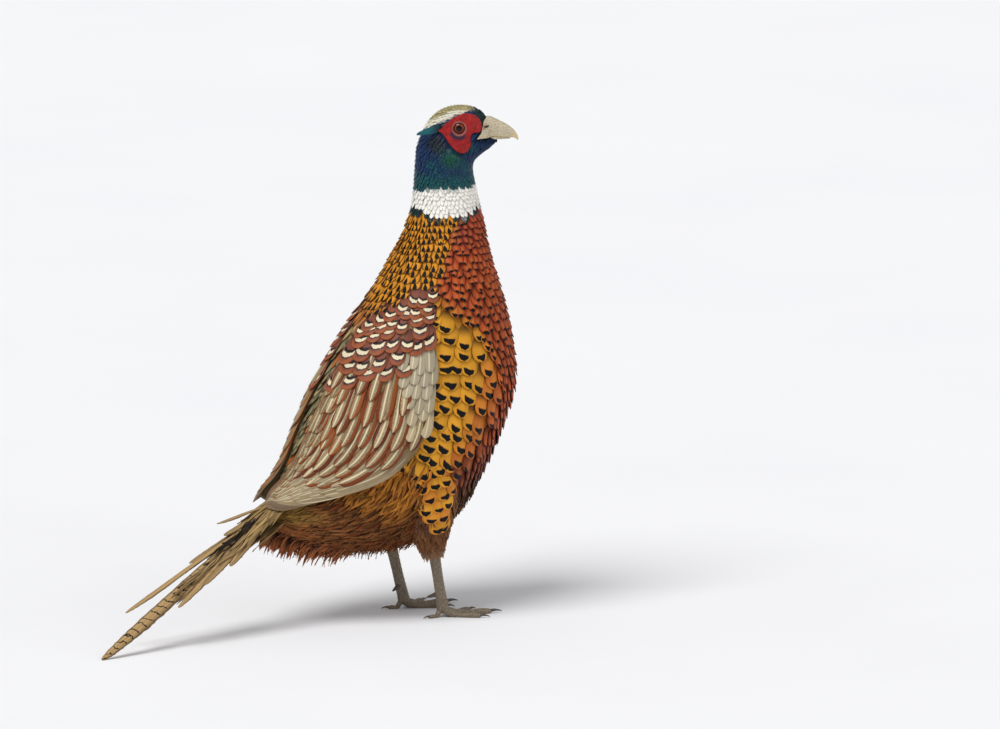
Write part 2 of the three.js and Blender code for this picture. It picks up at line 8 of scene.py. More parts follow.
import bpy
import numpy as np
from mathutils import Matrix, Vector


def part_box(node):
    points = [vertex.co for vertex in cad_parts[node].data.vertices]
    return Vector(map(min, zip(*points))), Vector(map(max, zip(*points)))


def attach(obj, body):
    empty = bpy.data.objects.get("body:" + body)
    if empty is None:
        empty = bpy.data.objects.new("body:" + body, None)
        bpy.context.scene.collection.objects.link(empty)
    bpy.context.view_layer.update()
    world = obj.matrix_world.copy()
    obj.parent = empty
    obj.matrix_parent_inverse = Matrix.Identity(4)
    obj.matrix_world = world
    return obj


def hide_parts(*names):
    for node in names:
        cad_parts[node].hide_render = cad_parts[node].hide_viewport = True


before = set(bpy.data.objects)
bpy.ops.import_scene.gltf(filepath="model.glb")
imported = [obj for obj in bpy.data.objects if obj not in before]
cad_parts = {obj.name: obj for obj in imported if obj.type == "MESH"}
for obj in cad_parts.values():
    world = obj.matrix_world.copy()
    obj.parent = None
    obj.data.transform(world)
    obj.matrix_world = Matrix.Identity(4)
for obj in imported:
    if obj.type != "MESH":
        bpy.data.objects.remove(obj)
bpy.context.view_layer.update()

MM = 0.001

# The trunk's cross-sections from the bill's base to the tail's root: back edge (x, z), front edge
# (x, z), half width, and how far the neck has turned the section to the bird's left, in degrees.
STATIONS = np.array([
    (64.2, 439.7, 65.9, 421.3, 5.0, -27), (59.3, 445.3, 71.7, 419.6, 6.6, -27),
    (51.4, 449.7, 72.1, 417.8, 9.8, -27), (40.9, 451.1, 69.0, 415.5, 14.2, -27),
    (29.4, 449.5, 65.5, 412.4, 16.8, -27), (18.9, 444.1, 61.1, 409.3, 18.2, -27),
    (10.5, 434.7, 56.7, 405.7, 19.2, -27), (4.8, 423.1, 53.2, 402.1, 20.2, -27),
    (1.3, 411.5, 51.4, 397.2, 21.2, -27), (-0.1, 391.8, 51.9, 389.2, 22.4, -27),
    (-1.4, 375.9, 54.5, 377.4, 24.0, -25), (-4.1, 359.5, 58.5, 361.7, 27.0, -20),
    (-11.3, 337.3, 63.5, 337.6, 33.5, -13), (-23.2, 316.5, 69.1, 312.3, 43.0, -6),
    (-40.5, 288.5, 77.9, 284.3, 53.0, -2), (-63.5, 259.5, 87.6, 246.0, 59.0, 0),
    (-83.5, 228.0, 91.4, 203.1, 63.5, 0), (-100.0, 198.5, 77.6, 160.9, 65.5, 0),
    (-113.0, 170.5, 57.3, 120.9, 64.0, 0), (-123.0, 147.0, 29.7, 85.0, 58.0, 0),
    (-132.0, 130.0, -9.7, 66.0, 49.0, 0), (-140.5, 118.0, -57.8, 62.0, 38.0, 0),
    (-147.0, 109.0, -102.4, 68.0, 27.0, 0), (-151.5, 102.0, -133.3, 82.0, 15.0, 0),
])
TURN_AXIS_X = 27.7
HEAD_TURN = -27.0
TAIL_END = len(STATIONS) - 1
EYE_AT = (39.4, 432.6)
EYE_OUT = 10.6
EYE_RADIUS = 7.2
UP = np.array((0.0, 0.0, 1.0))
FORWARD = np.array((1.0, 0.0, 0.0))

SIDES = (("left", 1.0), ("right", -1.0))
rng = np.random.default_rng(17)


# Numbers and vectors

def unit(v):
    """Each vector divided by its length."""
    return v / np.maximum(np.linalg.norm(v, axis=-1, keepdims=True), 1e-9)


def smooth(low, high, x):
    """0 at low, 1 at high, and a smooth S between; low may be the larger one."""
    t = np.clip((np.asarray(x, float) - low) / (high - low), 0.0, 1.0)
    return t * t * (3.0 - 2.0 * t)


def turn_parts(degrees):
    """The cosine and the sine of an angle in degrees."""
    return np.cos(np.radians(degrees)), np.sin(np.radians(degrees))


def ring_turns(sides):
    """The angles of a ring's points, in radians."""
    return 2 * np.pi * np.arange(sides) / sides


def columns(*parts):
    """Numbers side by side, as the last axis of one array."""
    return np.stack(np.broadcast_arrays(*parts), axis=-1)


def pick(keep, *rows):
    """The kept members of each array."""
    return [row[keep] for row in rows]


def along(rows, place):
    """Rows read at fractional places on a smooth curve through them, straight on past the last."""
    last = len(rows) - 1
    s = np.clip(place, 0.0, last)
    i = np.minimum(s.astype(int), last - 1)
    f = (s - i)[..., None]
    p0, p1 = rows[np.maximum(i - 1, 0)], rows[i]
    p2, p3 = rows[i + 1], rows[np.minimum(i + 2, last)]
    curve = 0.5 * (2 * p1 + (p2 - p0) * f + (2 * p0 - 5 * p1 + 4 * p2 - p3) * f * f
                   + (3 * p1 - p0 - 3 * p2 + p3) * f ** 3)
    return curve + (np.maximum(place, last) - last)[..., None] * (rows[last] - rows[last - 1])


def line(first, last, f):
    """Points at the shares f of a straight line."""
    f = np.asarray(f)[:, None]
    return np.array(first, float) * (1 - f) + np.array(last, float) * f


def turned(x, z, left, turn):
    """A point of the profile plane, with a distance to its left, turned about the neck's upright."""
    c, s = turn_parts(turn)
    forward = x - TURN_AXIS_X
    return columns(TURN_AXIS_X + forward * c - left * s, forward * s + left * c, z)


def section(row):
    """A cross-section's middle, half its axis from front to back, and the length of that half."""
    middle = (row[..., 0:2] + row[..., 2:4]) / 2
    axis = (row[..., 0:2] - row[..., 2:4]) / 2
    return middle, axis, np.linalg.norm(axis, axis=-1)


def trunk(place, angle, grow=0.0):
    """The trunk's surface: an ellipse between each station's back and front edge. angle is in
    degrees round from the back, positive to the left, and grow a distance outwards."""
    place, angle, grow = np.broadcast_arrays(*(np.asarray(v, float) for v in (place, angle, grow)))
    row = along(STATIONS, place)
    middle, axis, reach = section(row)
    c, s = turn_parts(angle)
    point = middle + axis * ((reach + grow) * c / reach)[..., None]
    left = (np.maximum(row[..., 4], 3.0) + grow) * s
    return turned(point[..., 0], point[..., 1], left, row[..., 5])


def head_point(x, z, left):
    """A point given in the head's own profile."""
    return turned(np.asarray(x, float), np.asarray(z, float), left, HEAD_TURN)


def profile_of(point):
    """A point near the head, back in the head's own profile: forward, up, left."""
    c, s = turn_parts(HEAD_TURN)
    dx, dy = point[..., 0] - TURN_AXIS_X, point[..., 1]
    return TURN_AXIS_X + dx * c + dy * s, point[..., 2], dy * c - dx * s


def box_middle(node):
    """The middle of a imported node's box, in millimetres."""
    low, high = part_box(node)
    return (np.array(low) + np.array(high)) / 2 / MM


ORIGIN = head_point(*EYE_AT, -EYE_OUT) - box_middle("eye_right")


# Colours

def srgb(r, g, b):
    """A colour as it looks on a screen, 0 to 255, as light."""
    c = np.array((r, g, b), float) / 255.0
    return np.where(c <= 0.04045, c / 12.92, ((c + 0.055) / 1.055) ** 2.4)


# Head and collar
BLUE = srgb(8, 44, 84)
TEAL = srgb(6, 74, 78)
GREEN = srgb(8, 78, 58)
NIGHT = srgb(26, 26, 30)
BROW_BLUE = srgb(24, 50, 96)
CROWN_OLIVE = srgb(168, 156, 112)
STRIPE = srgb(222, 216, 196)
FOREHEAD = srgb(14, 44, 42)
TUFT_BLUE = srgb(14, 56, 96)
TUFT_TEAL = srgb(22, 96, 98)
VELVET_ROOT = srgb(6, 8, 12)
WHITE = srgb(240, 237, 228)
# Neck, body and thighs
GOLD = srgb(216, 150, 38)
MANTLE_GOLD = srgb(208, 136, 28)
GLINT = srgb(240, 180, 84)
ORANGE = srgb(208, 118, 42)
COPPER = srgb(168, 70, 32)
DEEP_COPPER = srgb(148, 54, 32)
PLUM = srgb(128, 46, 48)
MAROON = srgb(112, 40, 20)
CHESTNUT = srgb(150, 78, 52)
INK = srgb(7, 6, 8)
# A dark feather base, and painted shade in the gaps between overlapping feathers.
SCALE_ROOT_AND_GAP_SHADE = srgb(48, 24, 14)
SCALE_RIM = srgb(46, 18, 12)
MOSS = srgb(126, 120, 88)
DARK_MOSS = srgb(46, 50, 40)
BELLY = srgb(52, 28, 24)
VENT = srgb(118, 70, 36)
RUFOUS = srgb(168, 104, 60)
OLIVE = srgb(158, 128, 62)
AMBER = srgb(192, 122, 42)
THIGH = srgb(124, 70, 32)
PURPLE = srgb(66, 30, 34)
FUZZ = srgb(172, 142, 116)
DARK_LOCK = srgb(58, 30, 20)
RED_LOCK = srgb(150, 62, 34)
LOCK_SHADE = srgb(40, 22, 14)
BELLY_TIP = srgb(206, 150, 84)
FRINGE_TIP = srgb(206, 150, 96)
THIGH_TIP = srgb(196, 150, 96)
VENT_BLACK = srgb(52, 30, 24)
VENT_TAN = srgb(150, 92, 52)
VENT_RUFOUS = srgb(186, 110, 66)
# Wings and tail
CREAM = srgb(226, 212, 178)
SILVER = srgb(172, 160, 134)
BUFF = srgb(196, 168, 118)
GREY_BUFF = srgb(154, 138, 110)
EARTH = srgb(112, 88, 62)
RUSTY = srgb(158, 84, 34)
SHOULDER_RED = srgb(124, 62, 38)
SHOULDER_PINK = srgb(116, 68, 58)
SHOULDER_ROOT = srgb(58, 26, 20)
SHOULDER_RIM = srgb(172, 92, 42)
PRIMARY = srgb(120, 98, 76)
SECONDARY = srgb(152, 132, 96)
COVERT = srgb(186, 164, 124)
COVERT_DARK = srgb(160, 138, 102)
EDGE_MAROON = srgb(92, 36, 12)
EDGE_RUST = srgb(148, 76, 26)
SQUIGGLE = srgb(34, 26, 22)
FLIGHT_ROOT = srgb(58, 30, 18)
TAIL_BUFF = srgb(178, 146, 98)
TAIL_BAR = srgb(26, 18, 16)
TAIL_BARB = srgb(70, 50, 30)
TAIL_SHAFT = srgb(112, 88, 56)


def blend(first, second, amount):
    """first where amount is 0, second where it is 1."""
    amount = np.asarray(amount, float)[..., None]
    return first * (1.0 - amount) + second * amount


def layered(colour, *layers):
    """A colour with others laid over it in turn, each as strongly as its amount."""
    for over, amount in layers:
        colour = blend(colour, over, amount)
    return colour


def varied(colour, n, low=0.86, high=1.12):
    """A colour for each of n feathers, a little lighter or darker each time."""
    return np.broadcast_to(colour, (n, 3)) * rng.uniform(low, high, (n, 1))


# Meshes

def make_piece(name, points, faces, finish, flat=None, attributes=None, uv=None):
    """One object of points in millimetres and four-cornered faces. flat marks the faces that are
    shaded flat; attributes, of three numbers or a colour's four, and uv are per point."""
    mesh = bpy.data.meshes.new(name)
    mesh.vertices.add(len(points))
    mesh.vertices.foreach_set("co", ((points - ORIGIN) * MM).astype(np.float32).ravel())
    mesh.loops.add(faces.size)
    mesh.loops.foreach_set("vertex_index", faces.astype(np.int32).ravel())
    mesh.polygons.add(len(faces))
    starts = np.arange(0, faces.size, faces.shape[1], dtype=np.int32)
    mesh.polygons.foreach_set("loop_start", starts)
    smoothed = np.ones(len(faces), bool) if flat is None else ~flat
    mesh.polygons.foreach_set("use_smooth", smoothed)
    for key, values in (attributes or {}).items():
        kind, field = {3: ("FLOAT_VECTOR", "vector"), 4: ("FLOAT_COLOR", "color")}[values.shape[-1]]
        layer = mesh.attributes.new(key, kind, "POINT")
        layer.data.foreach_set(field, values.astype(np.float32).ravel())
    if uv is not None:
        layer = mesh.uv_layers.new(name="OFBake")
        layer.data.foreach_set("uv", uv[faces.ravel()].astype(np.float32).ravel())
    mesh.update(calc_edges=True)
    mesh.validate()
    piece = bpy.data.objects.new(name, mesh)
    bpy.context.scene.collection.objects.link(piece)
    mesh.materials.append(finish)
    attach(piece, "root")
    return piece


def with_alpha(colour):
    """Colours with a fourth number of one."""
    return np.concatenate([colour, np.ones(colour.shape[:-1] + (1,))], axis=-1)


def grid_faces(rows, cols, wrap_rows=False, wrap_cols=False):
    """Faces of a grid of points, with its rows or columns joined end to end where they wrap."""
    i = np.arange(rows if wrap_rows else rows - 1)[:, None]
    j = np.arange(cols if wrap_cols else cols - 1)[None, :]
    i2, j2 = (i + 1) % rows, (j + 1) % cols
    return columns(i * cols + j, i2 * cols + j, i2 * cols + j2, i * cols + j2).reshape(-1, 4)


def outward(points, faces):
    """The faces, turned so that a closed surface's volume is positive."""
    a, b, c, d = (points[faces[:, k]] for k in range(4))
    volume = (np.cross(b, c) * a).sum() + (np.cross(c, d) * a).sum()
    return faces if volume > 0 else faces[:, ::-1]


def capped(rings):
    """A closed surface over rings of an even number of points, with a middle point at each end."""
    rows, sides = rings.shape[:2]
    points = with_ends(rings)
    j = np.arange(0, sides, 2)
    end = (rows - 1) * sides
    first = columns(rows * sides, (j + 2) % sides, j + 1, j)
    last = columns(rows * sides + 1, end + j, end + j + 1, end + (j + 2) % sides)
    faces = np.concatenate([grid_faces(rows, sides, wrap_cols=True), first, last])
    return points, outward(points, faces)


def with_ends(values):
    """Numbers on rings of points, and their means for the two middle points of the ends."""
    flat = values.reshape(-1, values.shape[-1])
    return np.concatenate([flat, values[:1].mean(1), values[-1:].mean(1)])


def swept(path, wide, high, sides, up, bumps=0.0):
    """Rings along a path: ellipses wide to the side and high towards up, with bumps added to their
    radius. The first point of a ring is at the side and the next ones turn towards up."""
    way = unit(np.gradient(path, axis=0))
    side = unit(np.cross(up, way))
    rise = np.cross(way, side)
    turn = ring_turns(sides)
    w = (wide[:, None] + bumps) * np.cos(turn)
    h = (high[:, None] + bumps) * np.sin(turn)
    return path[:, None] + side[:, None] * w[..., None] + rise[:, None] * h[..., None]


# Feathers

class Coat:
    """Feathers of one piece, each a thin closed blade, joined into one mesh at the end."""

    def __init__(self):
        keys = ("points", "faces", "flat", "vane", "uv", "ground", "mark", "style")
        self.store = {key: [] for key in keys}
        self.count = 0

    def add(self, centre, out, half, cols, thick, looks, home, patch=0.003, bow=0.15, ruffle=0.0):
        """Blades from centre lines (n, rows, 3), the way they face, and half widths (n, rows). A
        blade's section is a low arch that thins to its edges; bow is how far the edges hang, as a
        share of the half width, and ruffle how far they wave. looks are (ground, mark, style) for
        each blade, and home is its root's place on the unwrapped skin, patch across."""
        n, rows = half.shape
        way = unit(np.gradient(centre, axis=1))
        side = unit(np.cross(out, way))
        rise = np.cross(way, side)
        x = np.linspace(-1.0, 1.0, cols)
        wide = half[..., None] * x
        phase = rng.uniform(0, 6, (n, 1, 1))
        wave = ruffle * np.sin(np.linspace(0, 9, rows)[None, :, None] + 5 * x + phase)
        hang_down = -bow * half[..., None] * x * x + wave * np.abs(x) ** 2
        body = thick / 2 * (1.0 - 0.65 * np.abs(x) ** 1.5) * np.ones_like(wide)
        middle = centre[:, :, None] + side[:, :, None] * wide[..., None]
        top = middle + rise[:, :, None] * (hang_down + body)[..., None]
        low = middle + rise[:, :, None] * (hang_down - body)[..., None]
        ring = np.concatenate([top, low[:, :, ::-1]], axis=2)
        around = 2 * cols
        sides = grid_faces(rows, around, wrap_cols=True)
        edge = np.isin(np.arange(len(sides)) % around, (cols - 1, around - 1))
        j = np.arange(cols - 1)
        root = np.stack([j, j + 1, around - 2 - j, around - 1 - j], -1)
        tip = root[:, ::-1] + (rows - 1) * around
        faces = np.concatenate([sides, root, tip])
        flat = np.concatenate([edge, np.ones(2 * len(root), bool)])
        offset = self.count + np.arange(n)[:, None, None] * rows * around
        self.count += n * rows * around
        length = np.linalg.norm(np.diff(centre, axis=1), axis=-1)
        f = np.concatenate([np.zeros((n, 1)), np.cumsum(length, 1)], 1) / length.sum(1, keepdims=True)
        chance = rng.uniform(0, 1, (n, 1, 1))
        across = np.concatenate([x, x[::-1]])
        vane = columns(np.broadcast_to(across, (n, rows, around)), f[..., None], chance)
        spot = np.stack([vane[..., 0] * 0.5, vane[..., 1] - 0.5], -1) * patch
        blades = {"points": ring.reshape(-1, 3), "faces": (faces[None] + offset).reshape(-1, 4),
                  "flat": np.tile(flat, n), "vane": vane.reshape(-1, 3),
                  "uv": (home[:, None, None] + spot).reshape(-1, 2)}
        for key, value in zip(("ground", "mark", "style"), looks):
            blades[key] = np.repeat(np.broadcast_to(value, (n, 3)), rows * around, axis=0)
        for key, value in blades.items():
            self.store[key].append(value)

    def piece(self, name, finish, slot):
        """The coat as one object, with the numbers that its finish reads."""
        got = {key: np.concatenate(values) for key, values in self.store.items()}
        attributes = {"vane": got["vane"], "ground": with_alpha(got["ground"]),
                      "mark": with_alpha(got["mark"]), "style": got["style"]}
        return make_piece(name, got["points"], got["faces"], finish, got["flat"], attributes,
                          got["uv"])


def vane_half(rows, width, root, widest, round_tip, tip=0.04):
    """Half widths along a feather: from a share of the width at the root, out to the full width at
    widest, then round to the tip like a superellipse whose power is round_tip."""
    f = 1.0 - (1.0 - np.linspace(0.0, 1.0, rows)) ** 1.5
    rise = root + (1.0 - root) * np.sin(np.pi / 2 * np.clip(f / widest, 0, 1)) ** 0.8
    past = np.clip((f - widest) / (1.0 - widest), 0, 1)
    fall = np.clip(1.0 - past ** round_tip, 0, 1) ** (1 / round_tip)
    shape = np.where(f < widest, rise, np.maximum(fall, tip))
    return f, np.asarray(width)[:, None] / 2 * shape


def walk(place, angle, length, lean, f, lift, grow_from, grow_to):
    """Centre lines that follow the trunk from roots at (place, angle): tailwards, turned by lean
    degrees away from the back, rising from grow_from to grow_to over the surface."""
    places, angles = [], []
    s, t = place.copy(), angle.copy()
    done = 0.0
    ahead_part, round_part = turn_parts(lean)
    for value in f:
        step = (value - done) * length
        done = value
        ahead = np.linalg.norm(trunk(s + 0.05, t) - trunk(s - 0.05, t), axis=-1) / 0.1
        a_degree = np.linalg.norm(trunk(s, t + 1) - trunk(s, t - 1), axis=-1) / 2
        s = s + step * ahead_part / np.maximum(ahead, 3.0)
        t = t + np.sign(angle) * step * round_part / np.maximum(a_degree, 0.05)
        places.append(s)
        angles.append(t)
    places, angles = np.stack(places, 1), np.stack(angles, 1)
    grow = grow_from[:, None] + (grow_to - grow_from)[:, None] * f[None, :] ** lift
    centre = trunk(places, angles, grow)
    out = unit(trunk(places, angles, grow + 1.0) - centre)
    return centre, out, places, angles


def lattice(first, last, pitch_along, pitch_round, at_angle, span=(-180.0, 180.0), jitter=0.12):
    """Feather roots in offset rows over the trunk. The rows are pitch_along apart, measured at
    at_angle, and the roots in a row pitch_round apart. Both are numbers, or tables of them by
    place: (places, pitches)."""
    places, angles = [], []
    s, row = first, 0
    t = np.linspace(span[0], span[1], 241)
    while s < last:
        apart, beside = (np.interp(s, *pitch) if isinstance(pitch, tuple) else pitch
                         for pitch in (pitch_along, pitch_round))
        ring = trunk(s, t)
        arc = np.concatenate([[0], np.cumsum(np.linalg.norm(np.diff(ring, axis=0), axis=-1))])
        count = max(3, int(round(arc[-1] / beside)))
        at = (np.arange(count) + 0.5 * (row % 2) + 0.25) / count * arc[-1]
        at = at + rng.normal(0, jitter * beside * 0.5, count)
        angles.append(np.interp(at, arc, t))
        ahead = np.linalg.norm(trunk(s + 0.02, at_angle) - trunk(s - 0.02, at_angle)) / 0.04
        step = apart / ahead
        places.append(s + rng.normal(0, jitter * step * 0.5, count))
        s += step
        row += 1
    return np.concatenate(places), np.concatenate(angles)


# Unwrapped places

LAST_HOME = 22.4


def home_on_trunk(place, angle):
    """The place of a root on the unwrapped trunk: round it across, along it up."""
    return np.stack([0.02 + 0.96 * (angle + 180) / 360, 0.02 + 0.96 * place / 24], -1)


def home_on_thigh(number, f, turn):
    """A place of the unwrapped thigh skin, in the last strip of the unwrap."""
    return np.stack([0.06 + 0.5 * number + 0.38 * (turn % 360) / 360, 0.955 + 0.04 * f], -1)


def home_on_wing(side, a, b):
    """A place of the unwrapped wing."""
    return np.stack([0.04 + 0.9 * a / 1.1, 0.25 + 0.25 * side + 0.42 * np.clip(b, 0, 1) + 0.03], -1)


# The plumage's regions and colours

MANTLE_END = 14.6
WING_EDGE = ((14.5, 15.5, 16.5, 17.4, 18.4, 19.4, 20.3, 21.3, 22.1), (68, 74, 79, 83, 78, 62, 49, 40, 26))
GOLD_EDGE = ((10.4, 11.4, 12.8, 14.0, MANTLE_END), (118, 100, 75, 62, 60))
FLANK_START = ((60, 80, 100, 111, 122, 130), (13.7, 14.1, 14.5, 14.8, 15.3, 15.8))
FLANK_FRONT = ((13.8, 15.5, 17.0, 18.0, 19.2, 20.0), (126, 134, 130, 124, 130, 132))
FLANK_REAR = ((17.4, 18.2, 18.9), (70, 92, 128))


def wing_low(place):
    """The angle of the folded wing's lower edge at a place of the trunk."""
    return np.interp(place, *WING_EDGE)


def flank_start(t):
    """The place where the flank begins at an angle from the back, lower towards the breast."""
    return np.interp(t, *FLANK_START)


def gold_edge(place):
    """The angle where the golden mantle meets the copper breast, down to the wing's front edge."""
    return np.interp(place, *GOLD_EDGE)


def on_flank(place, angle):
    """How far a place is in the flank, whose gold feathers have broad black tips. It begins lower
    towards the breast, its front edge runs down the breast's side and its rear edge back from under
    the wing."""
    t = np.abs(angle)
    front = np.interp(place, *FLANK_FRONT)
    rear = np.interp(place, *FLANK_REAR)
    start = flank_start(t)
    behind_front = smooth(front + 3, front - 3, t)
    return smooth(start, start + 0.3, place) * behind_front * smooth(rear - 4, rear + 2, t)


def head_colours(place, angle):
    """Colours of the head and upper neck from the place in the head's own profile: blue neck, green
    sheen behind the cheek, black ear patch and face, white brow stripe, olive crown, green forehead.
    The brow line climbs from behind the ear to the front of the crown."""
    x, z, _ = profile_of(trunk(place, angle))
    sheen = np.exp(-((x - 32) / 9) ** 2 - ((z - 405) / 8) ** 2)
    ear = np.exp(-(((x - 19) / 9) ** 2 + ((z - 418) / 9) ** 2) ** 2)
    brow = 430.0 + (x - 8.0) * 0.44 + 2.4 * np.sin(np.clip((x - 8) / 44, 0, 1) * np.pi)
    over = z - brow
    return layered(
        BLUE,
        (TEAL, smooth(396, 384, z) * smooth(372, 378, z)),
        (TEAL, 0.6 * smooth(0.35, 0.75, np.sin(x * 0.21 + z * 0.13) * np.sin(z * 0.17))),
        (GREEN, np.clip(1.1 * sheen, 0, 1)),
        (NIGHT, 0.85 * ear),
        (NIGHT, 0.7 * smooth(54, 62, x) * smooth(416, 424, z)),
        (BROW_BLUE, smooth(-7, -3, over) * smooth(0, 56, 60 - x)),
        (STRIPE, smooth(-1.6, -0.2, over) * smooth(52, 46, x)),
        (CROWN_OLIVE, smooth(3.4, 5.0, over) * smooth(56, 50, x)),
        (FOREHEAD, smooth(50, 55, x) * smooth(431, 436, z)),
        (CROWN_OLIVE, smooth(446.5, 448.5, z) * smooth(54, 48, x)),
    )


def collar_edges(angle):
    """The places where the white collar begins and ends, closer together at the back."""
    t = np.abs(angle)
    upper = 9.95 + 0.08 * np.cos(np.radians(t * 3)) + 0.12 * np.cos(np.radians(t))
    lower = 11.32 - 0.42 * np.abs(np.cos(np.radians(t - 8))) ** 3 + 0.05 * np.sin(np.radians(t * 7))
    return upper, lower


def collar(place, angle):
    """How far a point is inside the white collar."""
    upper, lower = collar_edges(angle)
    return smooth(upper - 0.05, upper + 0.05, place) * smooth(lower + 0.05, lower - 0.05, place)


def ground_colours(place, angle):
    """The plumage's ground colour anywhere on the trunk: the gold of the mantle and the copper of
    the breast, the flank between them, darker parts below, and the head and collar over all."""
    t = np.abs(angle)
    gold = layered(MANTLE_GOLD, (CHESTNUT, smooth(14.0, 15.2, place) * smooth(66, 58, t)),
                   (OLIVE, smooth(16.6, 17.6, place) * smooth(50, 40, t)))
    flank = blend(GOLD, ORANGE, smooth(106, 120, t + 4 * np.maximum(place - 17, 0)))
    copper = layered(DEEP_COPPER, (COPPER, smooth(11.5, 14.0, place)),
                     (PLUM, 0.75 * smooth(130, 96, t) * smooth(12.6, 11.4, place)))
    front = blend(flank, copper, smooth(120, 136, t))
    start = flank_start(t)
    breast = blend(copper, front, smooth(start, start + 0.5, place))
    body = layered(
        gold,
        (breast, smooth(-3, 3, t - gold_edge(place)) * smooth(22.5, 20, place)),
        (MAROON, smooth(17.2, 18.2, place + (t - 120) * 0.02) * smooth(104, 122, t)),
        (BELLY, smooth(17.8, 19.0, place + (t - 130) * 0.02) * smooth(112, 134, t)),
        (VENT, smooth(18.9, 19.9, place) * smooth(60, 84, t)),
    )
    neck = smooth(10.6, 10.8, place)
    band = collar_edges(angle)[1] + 0.10 + 0.18 * smooth(80, 20, t)
    return layered(head_colours(place, angle), (body, neck),
                   (FOREHEAD, smooth(band + 0.06, band, place) * neck), (WHITE, collar(place, angle)))


WATTLE_OUTLINE = np.array([
    (20.4, 430.6), (24.1, 433.2), (27.7, 437.0), (34.7, 441.8), (41.7, 444.8), (48.8, 445.2),
    (55.0, 442.6), (58.6, 437.3), (59.2, 432.0), (57.0, 429.0), (52.6, 428.6), (50.2, 426.4),
    (49.6, 422.0), (49.8, 417.4), (47.6, 412.8), (43.5, 410.6), (39.3, 411.4), (35.4, 414.2),
    (31.0, 418.9), (27.2, 424.6), (24.0, 428.4),
])
# The rear edge of the bill's horn in the head's profile, from the gape up to the forehead: heights
# and how far forward each lies.
HORN_EDGE = ((422.0, 424.0, 428.0, 433.0, 438.0, 441.5), (54.2, 56.0, 58.8, 60.2, 61.4, 64.6))
GAPE_HEIGHT = 421.6


def past_horn(x, z):
    """How far a point of the profile lies in front of the bill's rear edge."""
    return x - np.interp(z, *HORN_EDGE)


def inside(outline, x, z):
    """Which points lie inside an outline, by counting the edges that a level line crosses."""
    a, b = outline, np.roll(outline, -1, axis=0)
    x, z = x[..., None], z[..., None]
    crosses = (a[:, 1] > z) != (b[:, 1] > z)
    rise = np.where(b[:, 1] == a[:, 1], 1e-9, b[:, 1] - a[:, 1])
    return (crosses & (x < a[:, 0] + (z - a[:, 1]) * (b[:, 0] - a[:, 0]) / rise)).sum(-1) % 2 == 1


def near_bare_skin(place, angle, margin):
    """Which roots would put a feather over the wattle, the eye or the bill."""
    x, z, left = profile_of(trunk(place, angle))
    middle = WATTLE_OUTLINE.mean(0)
    grown = middle + (WATTLE_OUTLINE - middle) * (1 + margin)
    cheek = (np.abs(left) > 5) & (np.abs(angle) > 20) & (np.abs(angle) < 165)
    return (inside(grown, x, z) & cheek) | ((past_horn(x, z) > -0.8) & (z > GAPE_HEIGHT))


# Materials

ROUND = 6.2832


class Value:
    """One output of a material's node. Arithmetic on it adds nodes that work the formula out."""

    def __init__(self, finish, socket):
        self.finish = finish
        self.socket = socket

    def math(self, operation, *others):
        return self.finish.node("Math", dict(enumerate((self,) + others)), operation=operation)

    def __add__(self, other):
        return self.math("ADD", other)

    def __sub__(self, other):
        return self.math("SUBTRACT", other)

    def __mul__(self, other):
        return self.math("MULTIPLY", other)

    def __rsub__(self, other):
        return (self * -1.0).math("ADD", other)

    __radd__ = __add__
    __rmul__ = __mul__

    def __abs__(self):
        return self.math("ABSOLUTE")

    def sine(self):
        return self.math("SINE")

    def wave(self):
        """The sine of this many whole turns."""
        return (self * ROUND).sine()

    def least(self, other):
        return self.math("MINIMUM", other)

    def most(self, other):
        return self.math("MAXIMUM", other)

    def step(self, low, high):
        """0 at low, 1 at high and a smooth S between; low may be the larger one."""
        return self.finish.node("MapRange", {0: self, 1: low, 2: high, 3: 0.0, 4: 1.0},
                                interpolation_type="SMOOTHSTEP")


